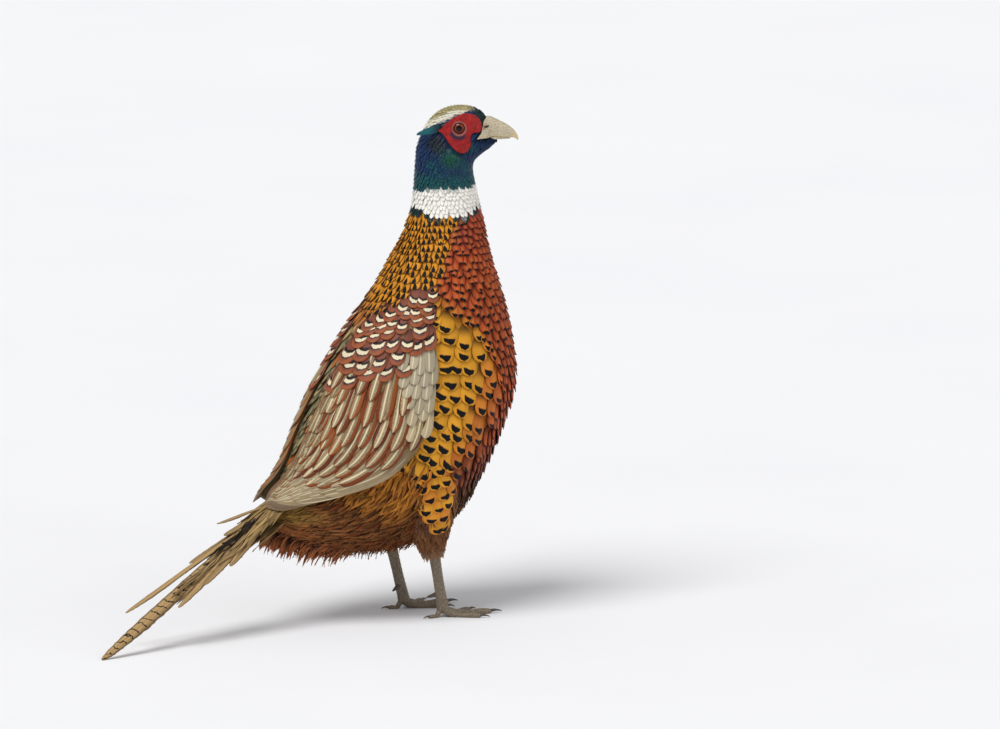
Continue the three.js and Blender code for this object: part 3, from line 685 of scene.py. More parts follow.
class Finish:
    """A material made of formulas, on one shader."""

    def __init__(self, name, **sockets):
        self.material = bpy.data.materials.new(name)
        self.material.use_nodes = True
        self.tree = self.material.node_tree
        self.shader = self.tree.nodes["Principled BSDF"]
        for key, value in sockets.items():
            self.shader.inputs[key.replace("_", " ")].default_value = value

    def node(self, kind, inputs=None, output=0, **settings):
        """Adds a node with its settings and inputs, and returns one of its outputs."""
        made = self.tree.nodes.new("ShaderNode" + kind)
        for key, value in settings.items():
            setattr(made, key, value)
        for key, value in (inputs or {}).items():
            self.feed(made.inputs[key], value)
        return Value(self, made.outputs[output])

    def feed(self, target, value):
        """Gives an input an output, a colour or a number."""
        if isinstance(value, Value):
            self.tree.links.new(value.socket, target)
        elif isinstance(value, np.ndarray):
            target.default_value = tuple(value) + (1.0,) * (len(target.default_value) - len(value))
        else:
            target.default_value = value

    def colour(self, attribute):
        return self.node("Attribute", output="Color", attribute_name=attribute)

    def numbers(self, attribute):
        """The three numbers of a vector attribute."""
        vector = self.node("Attribute", output="Vector", attribute_name=attribute)
        parts = self.node("SeparateXYZ", {0: vector}).socket.node.outputs
        return [Value(self, part) for part in parts]

    def mix(self, amount, first, second):
        return self.node("Mix", {0: amount, 6: first, 7: second}, 2, data_type="RGBA")

    def layers(self, colour, *overs):
        """A colour with others laid over it in turn, each as strongly as its amount."""
        for over, amount in overs:
            colour = self.mix(amount, colour, over)
        return colour

    def noise(self, scale, detail=2.0, stretch=None):
        where = self.node("TexCoord", output="Object")
        if stretch is not None:
            where = self.node("Mapping", {"Vector": where, "Scale": stretch})
        return self.node("TexNoise", {"Vector": where, "Scale": scale, "Detail": detail})

    def shaded(self, shade):
        """The ground colour, made as light as shade says."""
        return self.node("VectorMath", {0: self.colour("ground"), 3: shade}, operation="SCALE")

    def plumage(self, chance, low, spread, scale):
        """The ground colour, a little lighter or darker from feather to feather and place to place."""
        return self.shaded(low + spread * chance + 0.16 * self.noise(scale))

    def close(self, colour, rough, height=None, depth=0.0002, strength=0.4):
        """Joins the colour, the roughness and a relief of depth metres to the shader."""
        self.feed(self.shader.inputs["Base Color"], colour)
        self.feed(self.shader.inputs["Roughness"], rough)
        if height is not None:
            inputs = {"Height": height, "Strength": strength, "Distance": depth}
            self.feed(self.shader.inputs["Normal"], self.node("Bump", inputs, "Normal"))
        return self.material


def feather(name, gloss, lines, slant):
    """A feather's finish and what its mesh holds: the place across and along the vane, a chance for
    each feather, the distance from the shaft, and fine barbs, waves that run out from the shaft."""
    finish = Finish(name, Specular_IOR_Level=gloss)
    across, length, chance = finish.numbers("vane")
    far = abs(across)
    return finish, across, length, chance, far, (length * lines + far * slant + chance * 7.0).wave()


def scale_finish(name):
    """Body feathers: a ground colour with a dark mark at the tip, a darker rim, and a darker root that is
    partly the feather's own dark base and partly painted shade in the gaps between feathers. style holds the
    mark's length, the rim's strength and how far the mark points towards the root: below 0 it is a
    broad bar, with a sliver of the ground colour past it at the very tip."""
    finish, across, length, chance, far, barbs = feather(name, 0.16, 22.0, -5.0)
    size, rim, point = finish.numbers("style")
    grain = finish.noise(520.0) - 0.5
    skew = across * (chance - 0.35) * 0.16
    edge = 1.0 - size + far * point * size + barbs * 0.006 + grain * 0.06 + skew
    limit = 0.58 + rim * 0.26 + grain * 0.08
    mark = length.step(edge - 0.02, edge + 0.02) * far.step(limit + 0.04, limit - 0.03)
    low = 1.02 - point.step(0.1, 0.0) * (0.025 + abs(across + chance * 0.5 - 0.35) * 0.12)
    mark = mark * size.step(0.0, 0.02) * length.step(low + 0.012, low - 0.012)
    side = (far.step(0.62, 0.95) * length.step(0.35, 0.6)).most(length.step(0.93, 0.985))
    colour = finish.layers(
        finish.plumage(chance, 0.78, 0.24, 420.0),
        # Darker towards the root: the feather's own dark base, and painted shade in the gaps between
        # feathers.
        (SCALE_ROOT_AND_GAP_SHADE, length.step(0.62, 0.25) * 0.8),
        (GLINT, far.step(0.5, 0.0) * length.step(0.5, 0.8) * 0.16),
        (SCALE_RIM, side * rim),
        (finish.colour("mark"), mark),
    )
    return finish.close(colour, 0.6 + 0.05 * barbs, barbs * 0.35 + far.step(0.09, 0.02) * 0.6, 0.00012, 0.35)


def crescent_finish(name):
    """Shoulder feathers: chestnut, with a cream crescent inside a black line, and an orange rim."""
    finish, across, length, chance, far, barbs = feather(name, 0.25, 22.0, -5.0)
    grain = finish.noise(420.0) - 0.5
    skew = across * (chance - 0.35) * 0.12
    arc = length + far * far * 0.20 + barbs * 0.004 + grain * 0.10 + skew
    colour = finish.layers(
        finish.plumage(chance, 0.80, 0.25, 420.0),
        (SHOULDER_ROOT, length.step(0.5, 0.2) * 0.75),
        (SHOULDER_RIM, arc.step(0.86, 0.98) * 0.5),
        (INK, arc.step(0.60, 0.63) * arc.step(0.87, 0.84) * far.step(0.86, 0.72) * 0.95),
        (finish.colour("mark"), arc.step(0.70, 0.715) * arc.step(0.825, 0.81) * far.step(0.78, 0.66)),
    )
    height = barbs * 0.35 + far.step(0.08, 0.02) * 0.6
    return finish.close(colour, 0.55 + 0.06 * barbs, height, 0.00012, 0.35)


def flight_finish(name):
    """Long wing feathers: a pale middle and shaft, dark squiggles beside the shaft and darker edges.
    style holds the edges' breadth, the squiggles' strength and the shaft's paleness."""
    finish, across, length, chance, far, barbs = feather(name, 0.25, 60.0, -9.0)
    edging, mottled, pale = finish.numbers("style")
    grain = finish.noise(900.0, 3.0)
    lines = (length * 26.0 + far * 3.0 + grain * 5.0).wave()
    mottle = (lines + grain * 1.6).step(0.6, 1.3) * mottled * far.step(0.12, 0.22) * across.step(0.80, 0.55)
    start = 0.92 - edging * 0.45
    rim = (far + grain * 0.10 - 0.05).step(start, start + 0.10) * (edging * 4.0).least(1.0)
    colour = finish.layers(
        finish.plumage(chance, 0.82, 0.2, 300.0),
        (SQUIGGLE, mottle * 0.95),
        (finish.colour("mark"), rim),
        (CREAM, far.step(0.15, 0.05) * pale),
        (FLIGHT_ROOT, length.step(0.5, 0.1) * 0.6),
    )
    return finish.close(colour, 0.55 + 0.05 * barbs, barbs * 0.3 + far.step(0.10, 0.02), 0.00014, 0.4)


def tail_finish(name):
    """Tail feathers: buff-brown with narrow black bars along the middle and darker edges. style holds
    the bars' strength, how many there are, and how much black streaks them: painted shade of the gaps
    between frayed barbs."""
    finish, across, length, chance, far, barbs = feather(name, 0.2, 110.0, -9.0)
    strength, count, wear_and_gap_shade = finish.numbers("style")
    grain = finish.noise(700.0, 3.0)
    sway = finish.noise(160.0)
    bars = (length * count + across * 0.22 + grain * 0.35 + sway * 1.2 + chance).wave()
    streaks = (across * 3.1 + chance * 9.0 + sway * 2.0 + grain * 0.6).sine()
    colour = finish.layers(
        finish.plumage(chance, 0.78, 0.24, 300.0),
        (finish.colour("mark"), (far + grain * 0.25).step(0.72, 1.0) * 0.75),
        # Black streaks: painted shade of the gaps between frayed barbs, as strong as style's third number.
        (INK, streaks.step(0.45, 0.75) * wear_and_gap_shade),
        (TAIL_BAR, bars.step(0.74, 0.90) * strength * (far + grain * 0.3).step(1.0, 0.8)),
        (TAIL_BARB, barbs.step(0.2, 1.0) * 0.18),
        (TAIL_SHAFT, far.step(0.08, 0.03) * 0.6),
    )
    return finish.close(colour, 0.6 + 0.05 * barbs, barbs * 0.35 + far.step(0.08, 0.02), 0.00016, 0.45)


def velvet_finish(name):
    """The head's small glossy feathers. style holds the gloss and how pale the feather is."""
    finish, _, length, chance, _, barbs = feather(name, 0.3, 9.0, -3.0)
    gloss, pale, _ = finish.numbers("style")
    ground = finish.plumage(chance, 0.72 + pale * 0.2, 0.34 - pale * 0.32, 260.0)
    colour = finish.mix(length.step(0.6, 0.1) * (0.75 - pale * 0.7), ground, VELVET_ROOT)
    return finish.close(colour, 0.58 - gloss * 0.18 + 0.05 * barbs, barbs, 0.00006, 0.3)


def down_finish(name):
    """Loose hairy feathers of the belly, the vent and the thighs. style's first number is how much
    of the tip's colour shows."""
    finish = Finish(name, Specular_IOR_Level=0.15)
    across, length, chance = finish.numbers("vane")
    tipped = finish.numbers("style")[0]
    hairs = (across * 4.0 + chance * 5.0).wave()
    colour = finish.layers(
        finish.plumage(chance, 0.60, 0.5, 200.0),
        (finish.colour("mark"), length.step(0.45, 1.0) * (0.5 + 0.5 * tipped)),
        (LOCK_SHADE, hairs.step(0.2, 1.0) * 0.35),
    )
    return finish.close(colour, 0.8 + 0.05 * hairs, hairs, 0.0001, 0.5)


def skin_finish(name):
    """The skin under the feathers, with the plumage's own colours."""
    finish = Finish(name, Specular_IOR_Level=0.2)
    ground = finish.shaded(0.45 + 0.3 * finish.noise(500.0, 4.0))
    return finish.close(ground, 0.8 + 0.1 * finish.noise(300.0), finish.noise(900.0), 0.0004, 0.5)


def wattle_finish(name):
    """Bare red skin with fine papillae. style holds the pinkish lids and a dark strip under the eye."""
    finish = Finish(name, Specular_IOR_Level=0.45, Subsurface_Weight=0.08)
    finish.shader.inputs["Subsurface Radius"].default_value = (0.002, 0.0005, 0.0004)
    lid, strip, _ = finish.numbers("style")
    where = finish.node("TexCoord", output="Object")
    cells = finish.node("TexVoronoi", {"Vector": where, "Scale": 1500.0})
    colour = finish.layers(
        finish.mix(cells.step(0.22, 0.72), srgb(204, 12, 12), srgb(112, 0, 4)),
        (srgb(224, 40, 30), finish.noise(180.0).step(0.45, 0.7) * 0.3),
        (srgb(16, 16, 50), strip),
        (srgb(164, 116, 108), lid),
    )
    return finish.close(colour, 0.5 + 0.15 * cells, cells * -1.0, 0.0008, 0.9)


def horn_finish(name):
    """Pale horn with fine lengthways grain. style holds how dark it is, which is painted shade in the
    nostril's opening, how warm and how pink it is.
    """
    finish = Finish(name, Specular_IOR_Level=0.45, Coat_Weight=0.12, Coat_Roughness=0.3)
    dark, warm, pink = finish.numbers("style")
    grain = finish.noise(500.0, 4.0, (1.0, 1.0, 3.2))
    fine = finish.noise(2600.0, 2.0)
    colour = finish.layers(
        finish.mix(grain.step(0.35, 0.7), srgb(198, 186, 158), srgb(158, 144, 118)),
        (srgb(222, 212, 190), fine.step(0.5, 0.75) * 0.4),
        (srgb(216, 190, 134), warm),
        (srgb(116, 52, 48), pink * grain.step(0.2, 0.7)),
        # Painted shade in the nostril's opening.
        (srgb(52, 22, 20), dark),
    )
    return finish.close(colour, 0.42 + 0.2 * grain, grain + fine * 0.4, 0.00012, 0.3)


def eye_finish(name):
    """A wet eye: black pupil, red-brown iris with a dark rim, duller outside it. style holds the
    distance from the middle, 1 at the iris's edge, and the angle round it."""
    finish = Finish(name, Specular_IOR_Level=0.25, Coat_Weight=0.06, Coat_Roughness=0.02)
    radius, turn, _ = finish.numbers("style")
    fibres = (turn * 46.0 + finish.noise(900.0) * 8.0).sine()
    iris = finish.mix(fibres * 0.5 + 0.5, srgb(96, 30, 18), srgb(140, 62, 34))
    colour = finish.layers(
        finish.mix(radius.step(0.54, 0.60), srgb(2, 2, 4), iris),
        (srgb(30, 12, 10), radius.step(0.84, 0.94)),
        (srgb(120, 92, 76), radius.step(1.02, 1.12)),
    )
    return finish.close(colour, 0.14)


def scute_finish(name):
    """Grey-brown horny scales of the shanks and toes. style holds the dark seams and pale plates."""
    finish = Finish(name, Specular_IOR_Level=0.4)
    seam, plate, _ = finish.numbers("style")
    grain = finish.noise(700.0, 4.0)
    colour = finish.layers(
        finish.mix(grain.step(0.3, 0.75), srgb(132, 118, 98), srgb(96, 84, 70)),
        (srgb(158, 146, 124), plate * 0.35),
        (srgb(48, 40, 34), seam * 0.8),
    )
    return finish.close(colour, 0.5 + 0.2 * grain, grain, 0.0002, 0.35)


def claw_finish(name):
    """Dark horn of the claws and the spur."""
    finish = Finish(name, Specular_IOR_Level=0.5, Coat_Weight=0.2, Coat_Roughness=0.25)
    grain = finish.noise(900.0, 4.0)
    colour = finish.mix(grain.step(0.3, 0.7), srgb(46, 38, 34), srgb(92, 76, 62))
    return finish.close(colour, 0.38 + 0.15 * grain, grain, 0.0001, 0.3)


def floor_finish(name):
    """A plain pale floor."""
    finish = Finish(name, Specular_IOR_Level=0.1)
    tone = finish.noise(3.0).step(0.2, 0.8)
    return finish.close(finish.mix(tone, srgb(246, 246, 247), srgb(243, 243, 245)), 0.9)


# Skin under the plumage

LEGS = {
    "left": {"heel": (-14, 27, 62), "foot": (-0.5, 26, 0), "hip": (-26, 36, 128), "aim": 5},
    "right": {"heel": (1.5, -27, 62), "foot": (11.5, -26, 0), "hip": (-14, -38, 126), "aim": -5},
}
ANKLE_HEIGHT = 6.5
THIGH_END = 6.0
THIGH_SIZES = np.array([(24, 32), (23, 30), (19, 25), (13.5, 16.5), (8.0, 9.5)], float)


def thigh_rings(name, f, turn, grow):
    """The thigh's surface at shares f of its length and degrees turn round it, from its side."""
    hip = np.array(LEGS[name]["hip"], float)
    end = np.array(LEGS[name]["heel"], float) - UP * THIGH_END
    path = line(hip, end, f.ravel()).reshape(f.shape + (3,))
    size = along(THIGH_SIZES, f * (len(THIGH_SIZES) - 1)) + grow[..., None]
    way = unit(end - hip)
    side = unit(np.cross(FORWARD, way))
    rise = np.cross(way, side)
    c, s = turn_parts(turn)
    return path + side * (size[..., 0] * c)[..., None] + rise * (size[..., 1] * s)[..., None]


def from_outer(name, turn):
    """Degrees round a thigh from its outer side, positive towards the rear."""
    rest = 180 - turn if name == "right" else turn
    return (rest + 180) % 360 - 180


def skin_depth(place, angle):
    """How far under the solids' surface the skin lies: the plumage's own depth, and more in the
    eye's socket and under the bill."""
    x, z, left = profile_of(trunk(place, angle))
    plumage = 0.9 + 1.2 * smooth(8, 12, place) + 0.9 * smooth(14, 17, place)
    socket = smooth(7.0, 4.5, np.hypot(x - EYE_AT[0], z - EYE_AT[1])) * smooth(4, 8, np.abs(left))
    under_bill = smooth(-0.5, 1.5, past_horn(x, z)) * smooth(419.5, 421.0, z)
    return plumage + 4.0 * socket + 2.6 * under_bill


def mesh_angles(first, last, rows, start, end, sides):
    """Places and angles of a grid of points, its columns all the way round."""
    return np.meshgrid(np.linspace(first, last, rows), np.linspace(start, end, sides, False), indexing="ij")


def build_skin():
    """One closed skin of the head, neck and body, with the two thighs' skins joined to it."""
    place, angle = mesh_angles(0, TAIL_END, 300, -180, 180, 128)
    points, faces = capped(trunk(place, angle, -skin_depth(place, angle)))
    ground = with_ends(ground_colours(place, angle))
    home = home_on_trunk(place, angle)
    uv = [home.reshape(-1, 2), home[0, :1], home[-1, :1]]
    f, turn = mesh_angles(0, 1, 60, 0, 360, 64)
    tone = layered(THIGH, (BELLY, 0.3), (FUZZ, 0.4 * smooth(0.7, 1.0, f)))
    for number, (name, _) in enumerate(SIDES):
        more, more_faces = capped(thigh_rings(name, f, turn, np.full(f.shape, -2.5)))
        faces = np.concatenate([faces, more_faces + len(points)])
        points = np.concatenate([points, more])
        ground = np.concatenate([ground, with_ends(tone)])
        home = home_on_thigh(number, f, turn)
        uv += [home.reshape(-1, 2), home[0, :1], home[-1, :1]]
    piece = make_piece("skin", points, faces, skin_finish("skin_under_plumage"),
                       attributes={"ground": with_alpha(ground)}, uv=np.concatenate(uv))
    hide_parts("head", "neck", "torso", "thigh_left", "thigh_right")


# Plumage of the trunk

def tract(coat, place, angle, length, width, looks, rows=6, cols=5, thick=0.45, lean=4.0, root=0.5,
          widest=0.7, round_tip=2.2, raised=0.7, lift=1.4, stray=5.0, bow=0.16, ruffle=0.0):
    """Feathers that follow the trunk from roots at (place, angle). length and width are their sizes,
    and looks turns the places and angles of their showing parts into colours and marks."""
    n = len(place)
    f, half = vane_half(rows, width * rng.uniform(0.92, 1.08, n), root, widest, round_tip)
    sunk = skin_depth(place, angle)
    rise = raised * rng.uniform(0.7, 1.3, n)
    leans = lean + rng.normal(0, stray, n)
    centre, out, places, angles = walk(place, angle, length, leans, f, lift, -sunk - 0.4, rise)
    shown = max(1, int(rows * 0.7))
    home = home_on_trunk(np.minimum(place, LAST_HOME), angle)
    coat.add(centre, out, half, cols, thick, looks(places[:, shown], angles[:, shown]), home, bow=bow,
             ruffle=ruffle)


HEAD_PITCH_PLACES = (0, 3, 8, 11)
HEAD_PITCH = (HEAD_PITCH_PLACES, (1.5, 2.1, 2.7, 3.4))
HEAD_SPACING = (HEAD_PITCH_PLACES, (1.7, 2.2, 2.9, 3.8))
HEAD_SIZES = (HEAD_PITCH_PLACES, (0.65, 1.0, 1.3, 1.75))


def velvet_looks(place, angle):
    """Colours of the head's feathers, glossier where they are green or blue."""
    colour = ground_colours(place, angle)
    red = colour[:, 0]
    return colour, colour, columns(smooth(0.10, 0.02, red), smooth(0.3, 0.6, red), 0.0)


def build_head_coat():
    """Small feathers of the head and upper neck, down to the white collar's lower edge."""
    coat = Coat()
    place, angle = lattice(0.25, 11.25, HEAD_PITCH, HEAD_SPACING, 90.0)
    keep = ~near_bare_skin(place, angle, 0.02)
    keep &= (collar(place + 0.12, angle) > 0.3) | (place < 10.75)
    place, angle = pick(keep, place, angle)
    size = np.interp(place, *HEAD_SIZES)
    white = collar(place, angle) > 0.5
    for part, raised, thick, long in ((~white, 0.28, 0.2, 5.4), (white, 0.03, 0.1, 6.2)):
        tract(coat, place[part], angle[part], long * size[part], 2.9 * size[part], velvet_looks, rows=5,
              cols=3, thick=thick, lean=2.0, root=0.6, widest=0.6, round_tip=1.8, raised=raised, lift=1.1,
              stray=7.0, bow=0.1)
    for _, side in SIDES:
        build_ear_tuft(coat, side)
    piece = coat.piece("head_feathers", velvet_finish("head_plumage"), "head_feathers")
    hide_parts("head", "neck")


TUFT_FEATHERS = 16
TUFT_ROOT = (23.5, 433.2, 15.6)
TUFT_END_HEIGHT = 427.6


def build_ear_tuft(coat, side):
    """Narrow feathers that stand back from over the ear in a pointed tuft, the left one lying flatter."""
    n = TUFT_FEATHERS
    end_x, spread = (-0.5, 5.4) if side < 0 else (10.0, 1.6)
    fan = np.linspace(-1, 1, n) + rng.normal(0, 0.06, n)
    length = rng.uniform(0.80, 1.0, n) * (1 - 0.22 * np.abs(fan))
    f, half = vane_half(9, np.full(n, 2.6), 0.5, 0.5, 1.6)
    reach = f[None, :] * length[:, None]
    x = TUFT_ROOT[0] + (end_x - TUFT_ROOT[0]) * reach
    z = TUFT_ROOT[1] + (TUFT_END_HEIGHT - TUFT_ROOT[1]) * reach - fan[:, None] * (2.4 * (1 - 0.4 * reach))
    out = TUFT_ROOT[2] + spread * np.sin(reach * np.pi / 2) + 0.4 * rng.normal(0, 1, (n, 1)) * reach
    centre = head_point(x, z, side * out)
    facing = unit(head_point(x, z, side * (out + 1)) - centre)
    tone = blend(TUFT_BLUE, TUFT_TEAL, rng.uniform(0.0, 1.0, n))
    home = home_on_trunk(np.full(n, 6.0), side * 55 + 8 * fan)
    coat.add(centre, facing, half, 5, 0.5, (tone, tone, np.array([0.9, 0, 0])), home, bow=0.2)


def body_looks(place, angle):
    """Ground colour, tip mark and its size for the scaled feathers of the trunk: pointed marks on the
    mantle, broad ones on the flank, small ones on the copper breast and none lower down."""
    t = np.abs(angle)
    ground = ground_colours(place, angle) * rng.uniform(0.86, 1.1, (len(place), 1))
    on_back = t < gold_edge(np.minimum(place, MANTLE_END))
    flank = on_flank(place, angle) * (~on_back)
    rest = 1 - flank
    size = np.where(on_back, 0.35, 0.12 + 0.05 * smooth(13.2, 14.4, place)) * rest + 0.22 * flank
    dark = smooth(16.9, 18.2, place + (t - 125) * 0.03) * smooth(118, 128, t)
    size = size * (1 - 0.25 * smooth(116, 132, t)) * (1 - 0.9 * dark)
    rim = np.where(on_back, 0.85, 0.75) * rest + 0.12 * flank
    point = np.where(on_back, 1.55, 0.5) * rest - 0.14 * flank
    return ground, INK, columns(size, rim, point)


def back_looks(place, angle):
    """Colours of the back and the rump between the wings, with some buff and rusty feathers."""
    n = len(place)
    ground = layered((MANTLE_GOLD + CHESTNUT) / 2, (MOSS, smooth(14.6, 15.6, place)),
                     (MAROON, smooth(19.5, 21.4, place) * 0.7))
    ground = layered(ground * rng.uniform(0.75, 1.15, (n, 1)),
                     (BUFF, 0.6 * smooth(0.5, 1.0, rng.uniform(0, 1, n))),
                     (RUSTY, smooth(0.8, 0.9, rng.uniform(0, 1, n))))
    return ground, DARK_MOSS, columns(rng.uniform(0.05, 0.3, n), 0.8, 1.6)


def build_neck_coat():
    """Scaled feathers of the mantle and the copper breast, from the collar to the shoulders."""
    coat = Coat()
    place, angle = lattice(10.9, 15.6, ((11, 14.4), (5.0, 7.6)), ((11, 14.4), (5.2, 7.2)), 90.0, jitter=0.3)
    t = np.abs(angle)
    keep = (place < 14.4) | ((place < flank_start(t) + 0.1) & (t > 84))
    keep &= (on_flank(place + 0.3, angle) <= 0.5) | (t < gold_edge(np.minimum(place, MANTLE_END)))
    place, angle = pick(keep, place, angle)
    size = np.interp(place, (11, 14.4), (1.0, 1.45))
    back = np.abs(angle) < gold_edge(place)
    for part, width, tip, widest in ((back, 8.2, 2.4, 0.75), (~back, 7.6, 1.8, 0.62)):
        tract(coat, place[part], angle[part], 14.5 * size[part], width * size[part], body_looks, rows=8,
              cols=7, raised=0.6, round_tip=tip, widest=widest, thick=0.35)
    piece = coat.piece("neck_feathers", scale_finish("neck_plumage"), "neck_feathers")
    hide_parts("neck", "torso")


def build_body_coat():
    """Feathers of the flanks, thighs, lower breast and back, left out where a wing hides them."""
    coat = Coat()
    place, angle = lattice(13.75, 20.0, 12.0, 15.0, 105.0, jitter=0.3)
    hidden = (place > 15.0) & (np.abs(angle) < wing_low(place) - 14)
    place, angle = pick((on_flank(place + 0.25, angle) > 0.5) & ~hidden, place, angle)
    size = np.interp(place, (13.9, 15.5), (0.85, 1.0))
    tract(coat, place, angle, 29.0 * size, 20.5 * size, body_looks, rows=10, cols=9,
          thick=0.4, raised=0.7, lean=3.0, round_tip=2.2, widest=0.7, ruffle=0.2)
    build_thigh_scales(coat)
    place, angle = lattice(14.25, 19.2, 8.4, 8.2, 150.0, jitter=0.3)
    t = np.abs(angle)
    keep = (on_flank(place + 0.25, angle) <= 0.5) & (t > 84) & (place < 18.9)
    keep &= (place > flank_start(t) - 0.2) & ((place < 17.0) | (t > 110))
    place, angle = pick(keep, place, angle)
    n = len(place)
    tract(coat, place, angle, np.full(n, 22.0), np.full(n, 11.4), body_looks, rows=8, cols=5,
          thick=0.4, raised=0.8, lean=1.0, round_tip=1.8, widest=0.65)
    place, angle = lattice(14.3, 22.6, 8.0, 5.2, 10.0, span=(-32.0, 32.0), jitter=0.5)
    n = len(place)
    tract(coat, place, angle, np.full(n, 26.0), np.full(n, 7.6), back_looks, rows=8, cols=7, thick=0.4,
          raised=0.8, round_tip=1.6, widest=0.6, stray=8.0)
    piece = coat.piece("body_feathers", scale_finish("body_plumage"), "body_feathers")
    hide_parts("torso")


def down_looks(place, angle):
    """Colours of the belly's and vent's loose feathers: dark in the middle, amber under the wing,
    olive and rufous towards the tail, with darker and redder strands among them."""
    t = np.abs(angle)
    strand = rng.uniform(0, 1, len(place))
    amber = smooth(17.4, 18.0, place) * smooth(20.4, 19.6, place) * smooth(112, 96, t)
    colour = layered(
        MAROON,
        (BELLY, smooth(112, 128, t) * smooth(20.4, 18.8, place)),
        (VENT, smooth(18.8, 20.0, place) * smooth(150, 122, t)),
        (AMBER, 0.9 * amber),
        (RUFOUS, 0.3 * smooth(20.2, 21.2, place)),
        (OLIVE, 0.8 * smooth(20.6, 21.3, place) * smooth(84, 60, t)),
        (RUFOUS, smooth(21.4, 22.3, place) * smooth(60, 100, t)),
        (DARK_LOCK, 0.8 * smooth(0.72, 0.86, strand)),
        (RED_LOCK, 0.5 * smooth(0.16, 0.05, strand)),
    )
    colour = colour * rng.uniform(0.6, 1.3, (len(place), 1))
    return colour, blend(colour, BELLY_TIP, rng.uniform(0.05, 0.5, len(place))), np.zeros(3)


def build_belly():
    """Soft tapering locks of the belly and of the side under the wing."""
    coat = Coat()
    place, angle = lattice(17.0, 22.9, 5.2, 5.2, 150.0, jitter=0.6)
    t = np.abs(angle)
    keep = (t > wing_low(place) - 12) & (on_flank(place + 0.5, angle) < 0.5) & (place > 17.4)
    keep &= (place > 17.9) | (t < 100)
    place, angle = pick(keep, place, angle)
    n = len(place)
    tract(coat, place, angle, rng.uniform(18, 30, n), rng.uniform(2.6, 5.6, n), down_looks, rows=8, cols=3,
          thick=0.5, root=0.7, widest=0.35, round_tip=1.3, raised=1.7, lift=1.1, stray=14.0, bow=0.3,
          ruffle=0.35)
    piece = coat.piece("belly_feathers", down_finish("belly_plumage"), "body_feathers")
    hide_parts("torso")


def build_vent():
    """Fine loose hairs of the belly's underside and the vent, with the fringe that hangs from it."""
    coat = Coat()
    place, angle = lattice(18.9, 22.9, 4.6, 4.4, 160.0, jitter=0.9)
    keep = (np.abs(angle) > 118) | ((place > 21.3) & (np.abs(angle) > 60))
    place, angle = pick(keep, place, angle)
    n = len(place)
    tract(coat, place, angle, rng.uniform(20, 34, n), rng.uniform(0.9, 2.2, n), down_looks, rows=7, cols=3,
          thick=0.4, root=0.8, widest=0.3, round_tip=1.2, raised=7.0, lift=1.5, stray=20.0, bow=0.2)
    build_fringe(coat)
    piece = coat.piece("vent_feathers", down_finish("vent_plumage"), "body_feathers")
    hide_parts("torso")


def build_thigh_coat():
    """The feathers under the tail's root and the short ones of the two thighs."""
    coat = Coat()
    build_undertail(coat)
    for number, (name, _) in enumerate(SIDES):
        build_thigh_locks(coat, number, name)
    piece = coat.piece("thigh_feathers", down_finish("thigh_plumage"), "thigh_feathers")
    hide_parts("torso", "thigh_left", "thigh_right")


def hang(coat, place, angle, fall, length, width, looks):
    """Soft tapering locks that leave the trunk's underside along it and bend to point along fall,
    which is (n, 3). Those at the sides face outwards."""
    n = len(place)
    root = trunk(place, angle, -2.0)
    skin_way = unit(trunk(place + 0.2, angle) - trunk(place, angle))
    f, half = vane_half(8, width, 0.7, 0.35, 1.3)
    reach = (length[:, None] * f[None, :])[..., None]
    bend = (f ** 1.25)[None, :, None]
    centre = root[:, None] + reach * ((1 - bend) * skin_way[:, None] + bend * unit(fall)[:, None])
    out = trunk(place, angle, 1.0) - trunk(place, angle)
    out = out + np.sign(np.sin(np.radians(angle)))[:, None] * np.array((0, 1.4, 0))
    out = unit(out + rng.normal(0, 0.3, (n, 3)))
    home = home_on_trunk(np.minimum(place, LAST_HOME), angle)
    coat.add(centre, np.broadcast_to(out[:, None], centre.shape), half, 3, 0.5, looks, home, bow=0.3,
             ruffle=0.3)


UNDERTAIL_LOCKS = 330
FRINGE_HAIRS = 900
THIGH_LOCKS = 760
SPIRAL_TURN = 137.508


def build_undertail(coat):
    """Soft feathers that hang back under the tail's root, black with rufous ends."""
    n = UNDERTAIL_LOCKS
    place = rng.uniform(20.9, 23.0, n)
    fan = rng.uniform(-1, 1, n)
    rear = smooth(20.9, 22.8, place)
    fall = columns(-0.95, 0.35 * fan, -0.42 - 0.1 * rear) + rng.normal(0, 0.16, (n, 3))
    dark = varied(VENT_BLACK, n, 0.5, 1.5)
    dark = blend(dark, VENT_TAN, smooth(0.55, 0.9, rng.uniform(0, 1, n)))
    looks = (dark, varied(VENT_RUFOUS, n, 0.7, 1.15), np.array([1.0, 0, 0]))
    hang(coat, place, 180 + 62 * fan, fall, rng.uniform(12, 28, n), rng.uniform(2.0, 6.0, n), looks)


def build_fringe(coat):
    """Loose hairs that hang under the belly and between the legs."""
    n = FRINGE_HAIRS
    place = rng.uniform(18.6, 21.8, n)
    fan = rng.uniform(-1, 1, n)
    fall = columns(-0.85, 0.5 * fan, -0.5) + rng.normal(0, 0.25, (n, 3))
    colour = blend(varied(VENT, n, 0.5, 1.4), FUZZ, 0.6 * smooth(19.8, 19.0, place) * rng.uniform(0, 1, n))
    looks = (colour, blend(colour, FRINGE_TIP, rng.uniform(0.1, 0.7, n)), np.array([0.3, 0, 0]))
    hang(coat, place, 180 + 58 * fan, fall, rng.uniform(6, 15, n), rng.uniform(0.7, 2.2, n), looks)


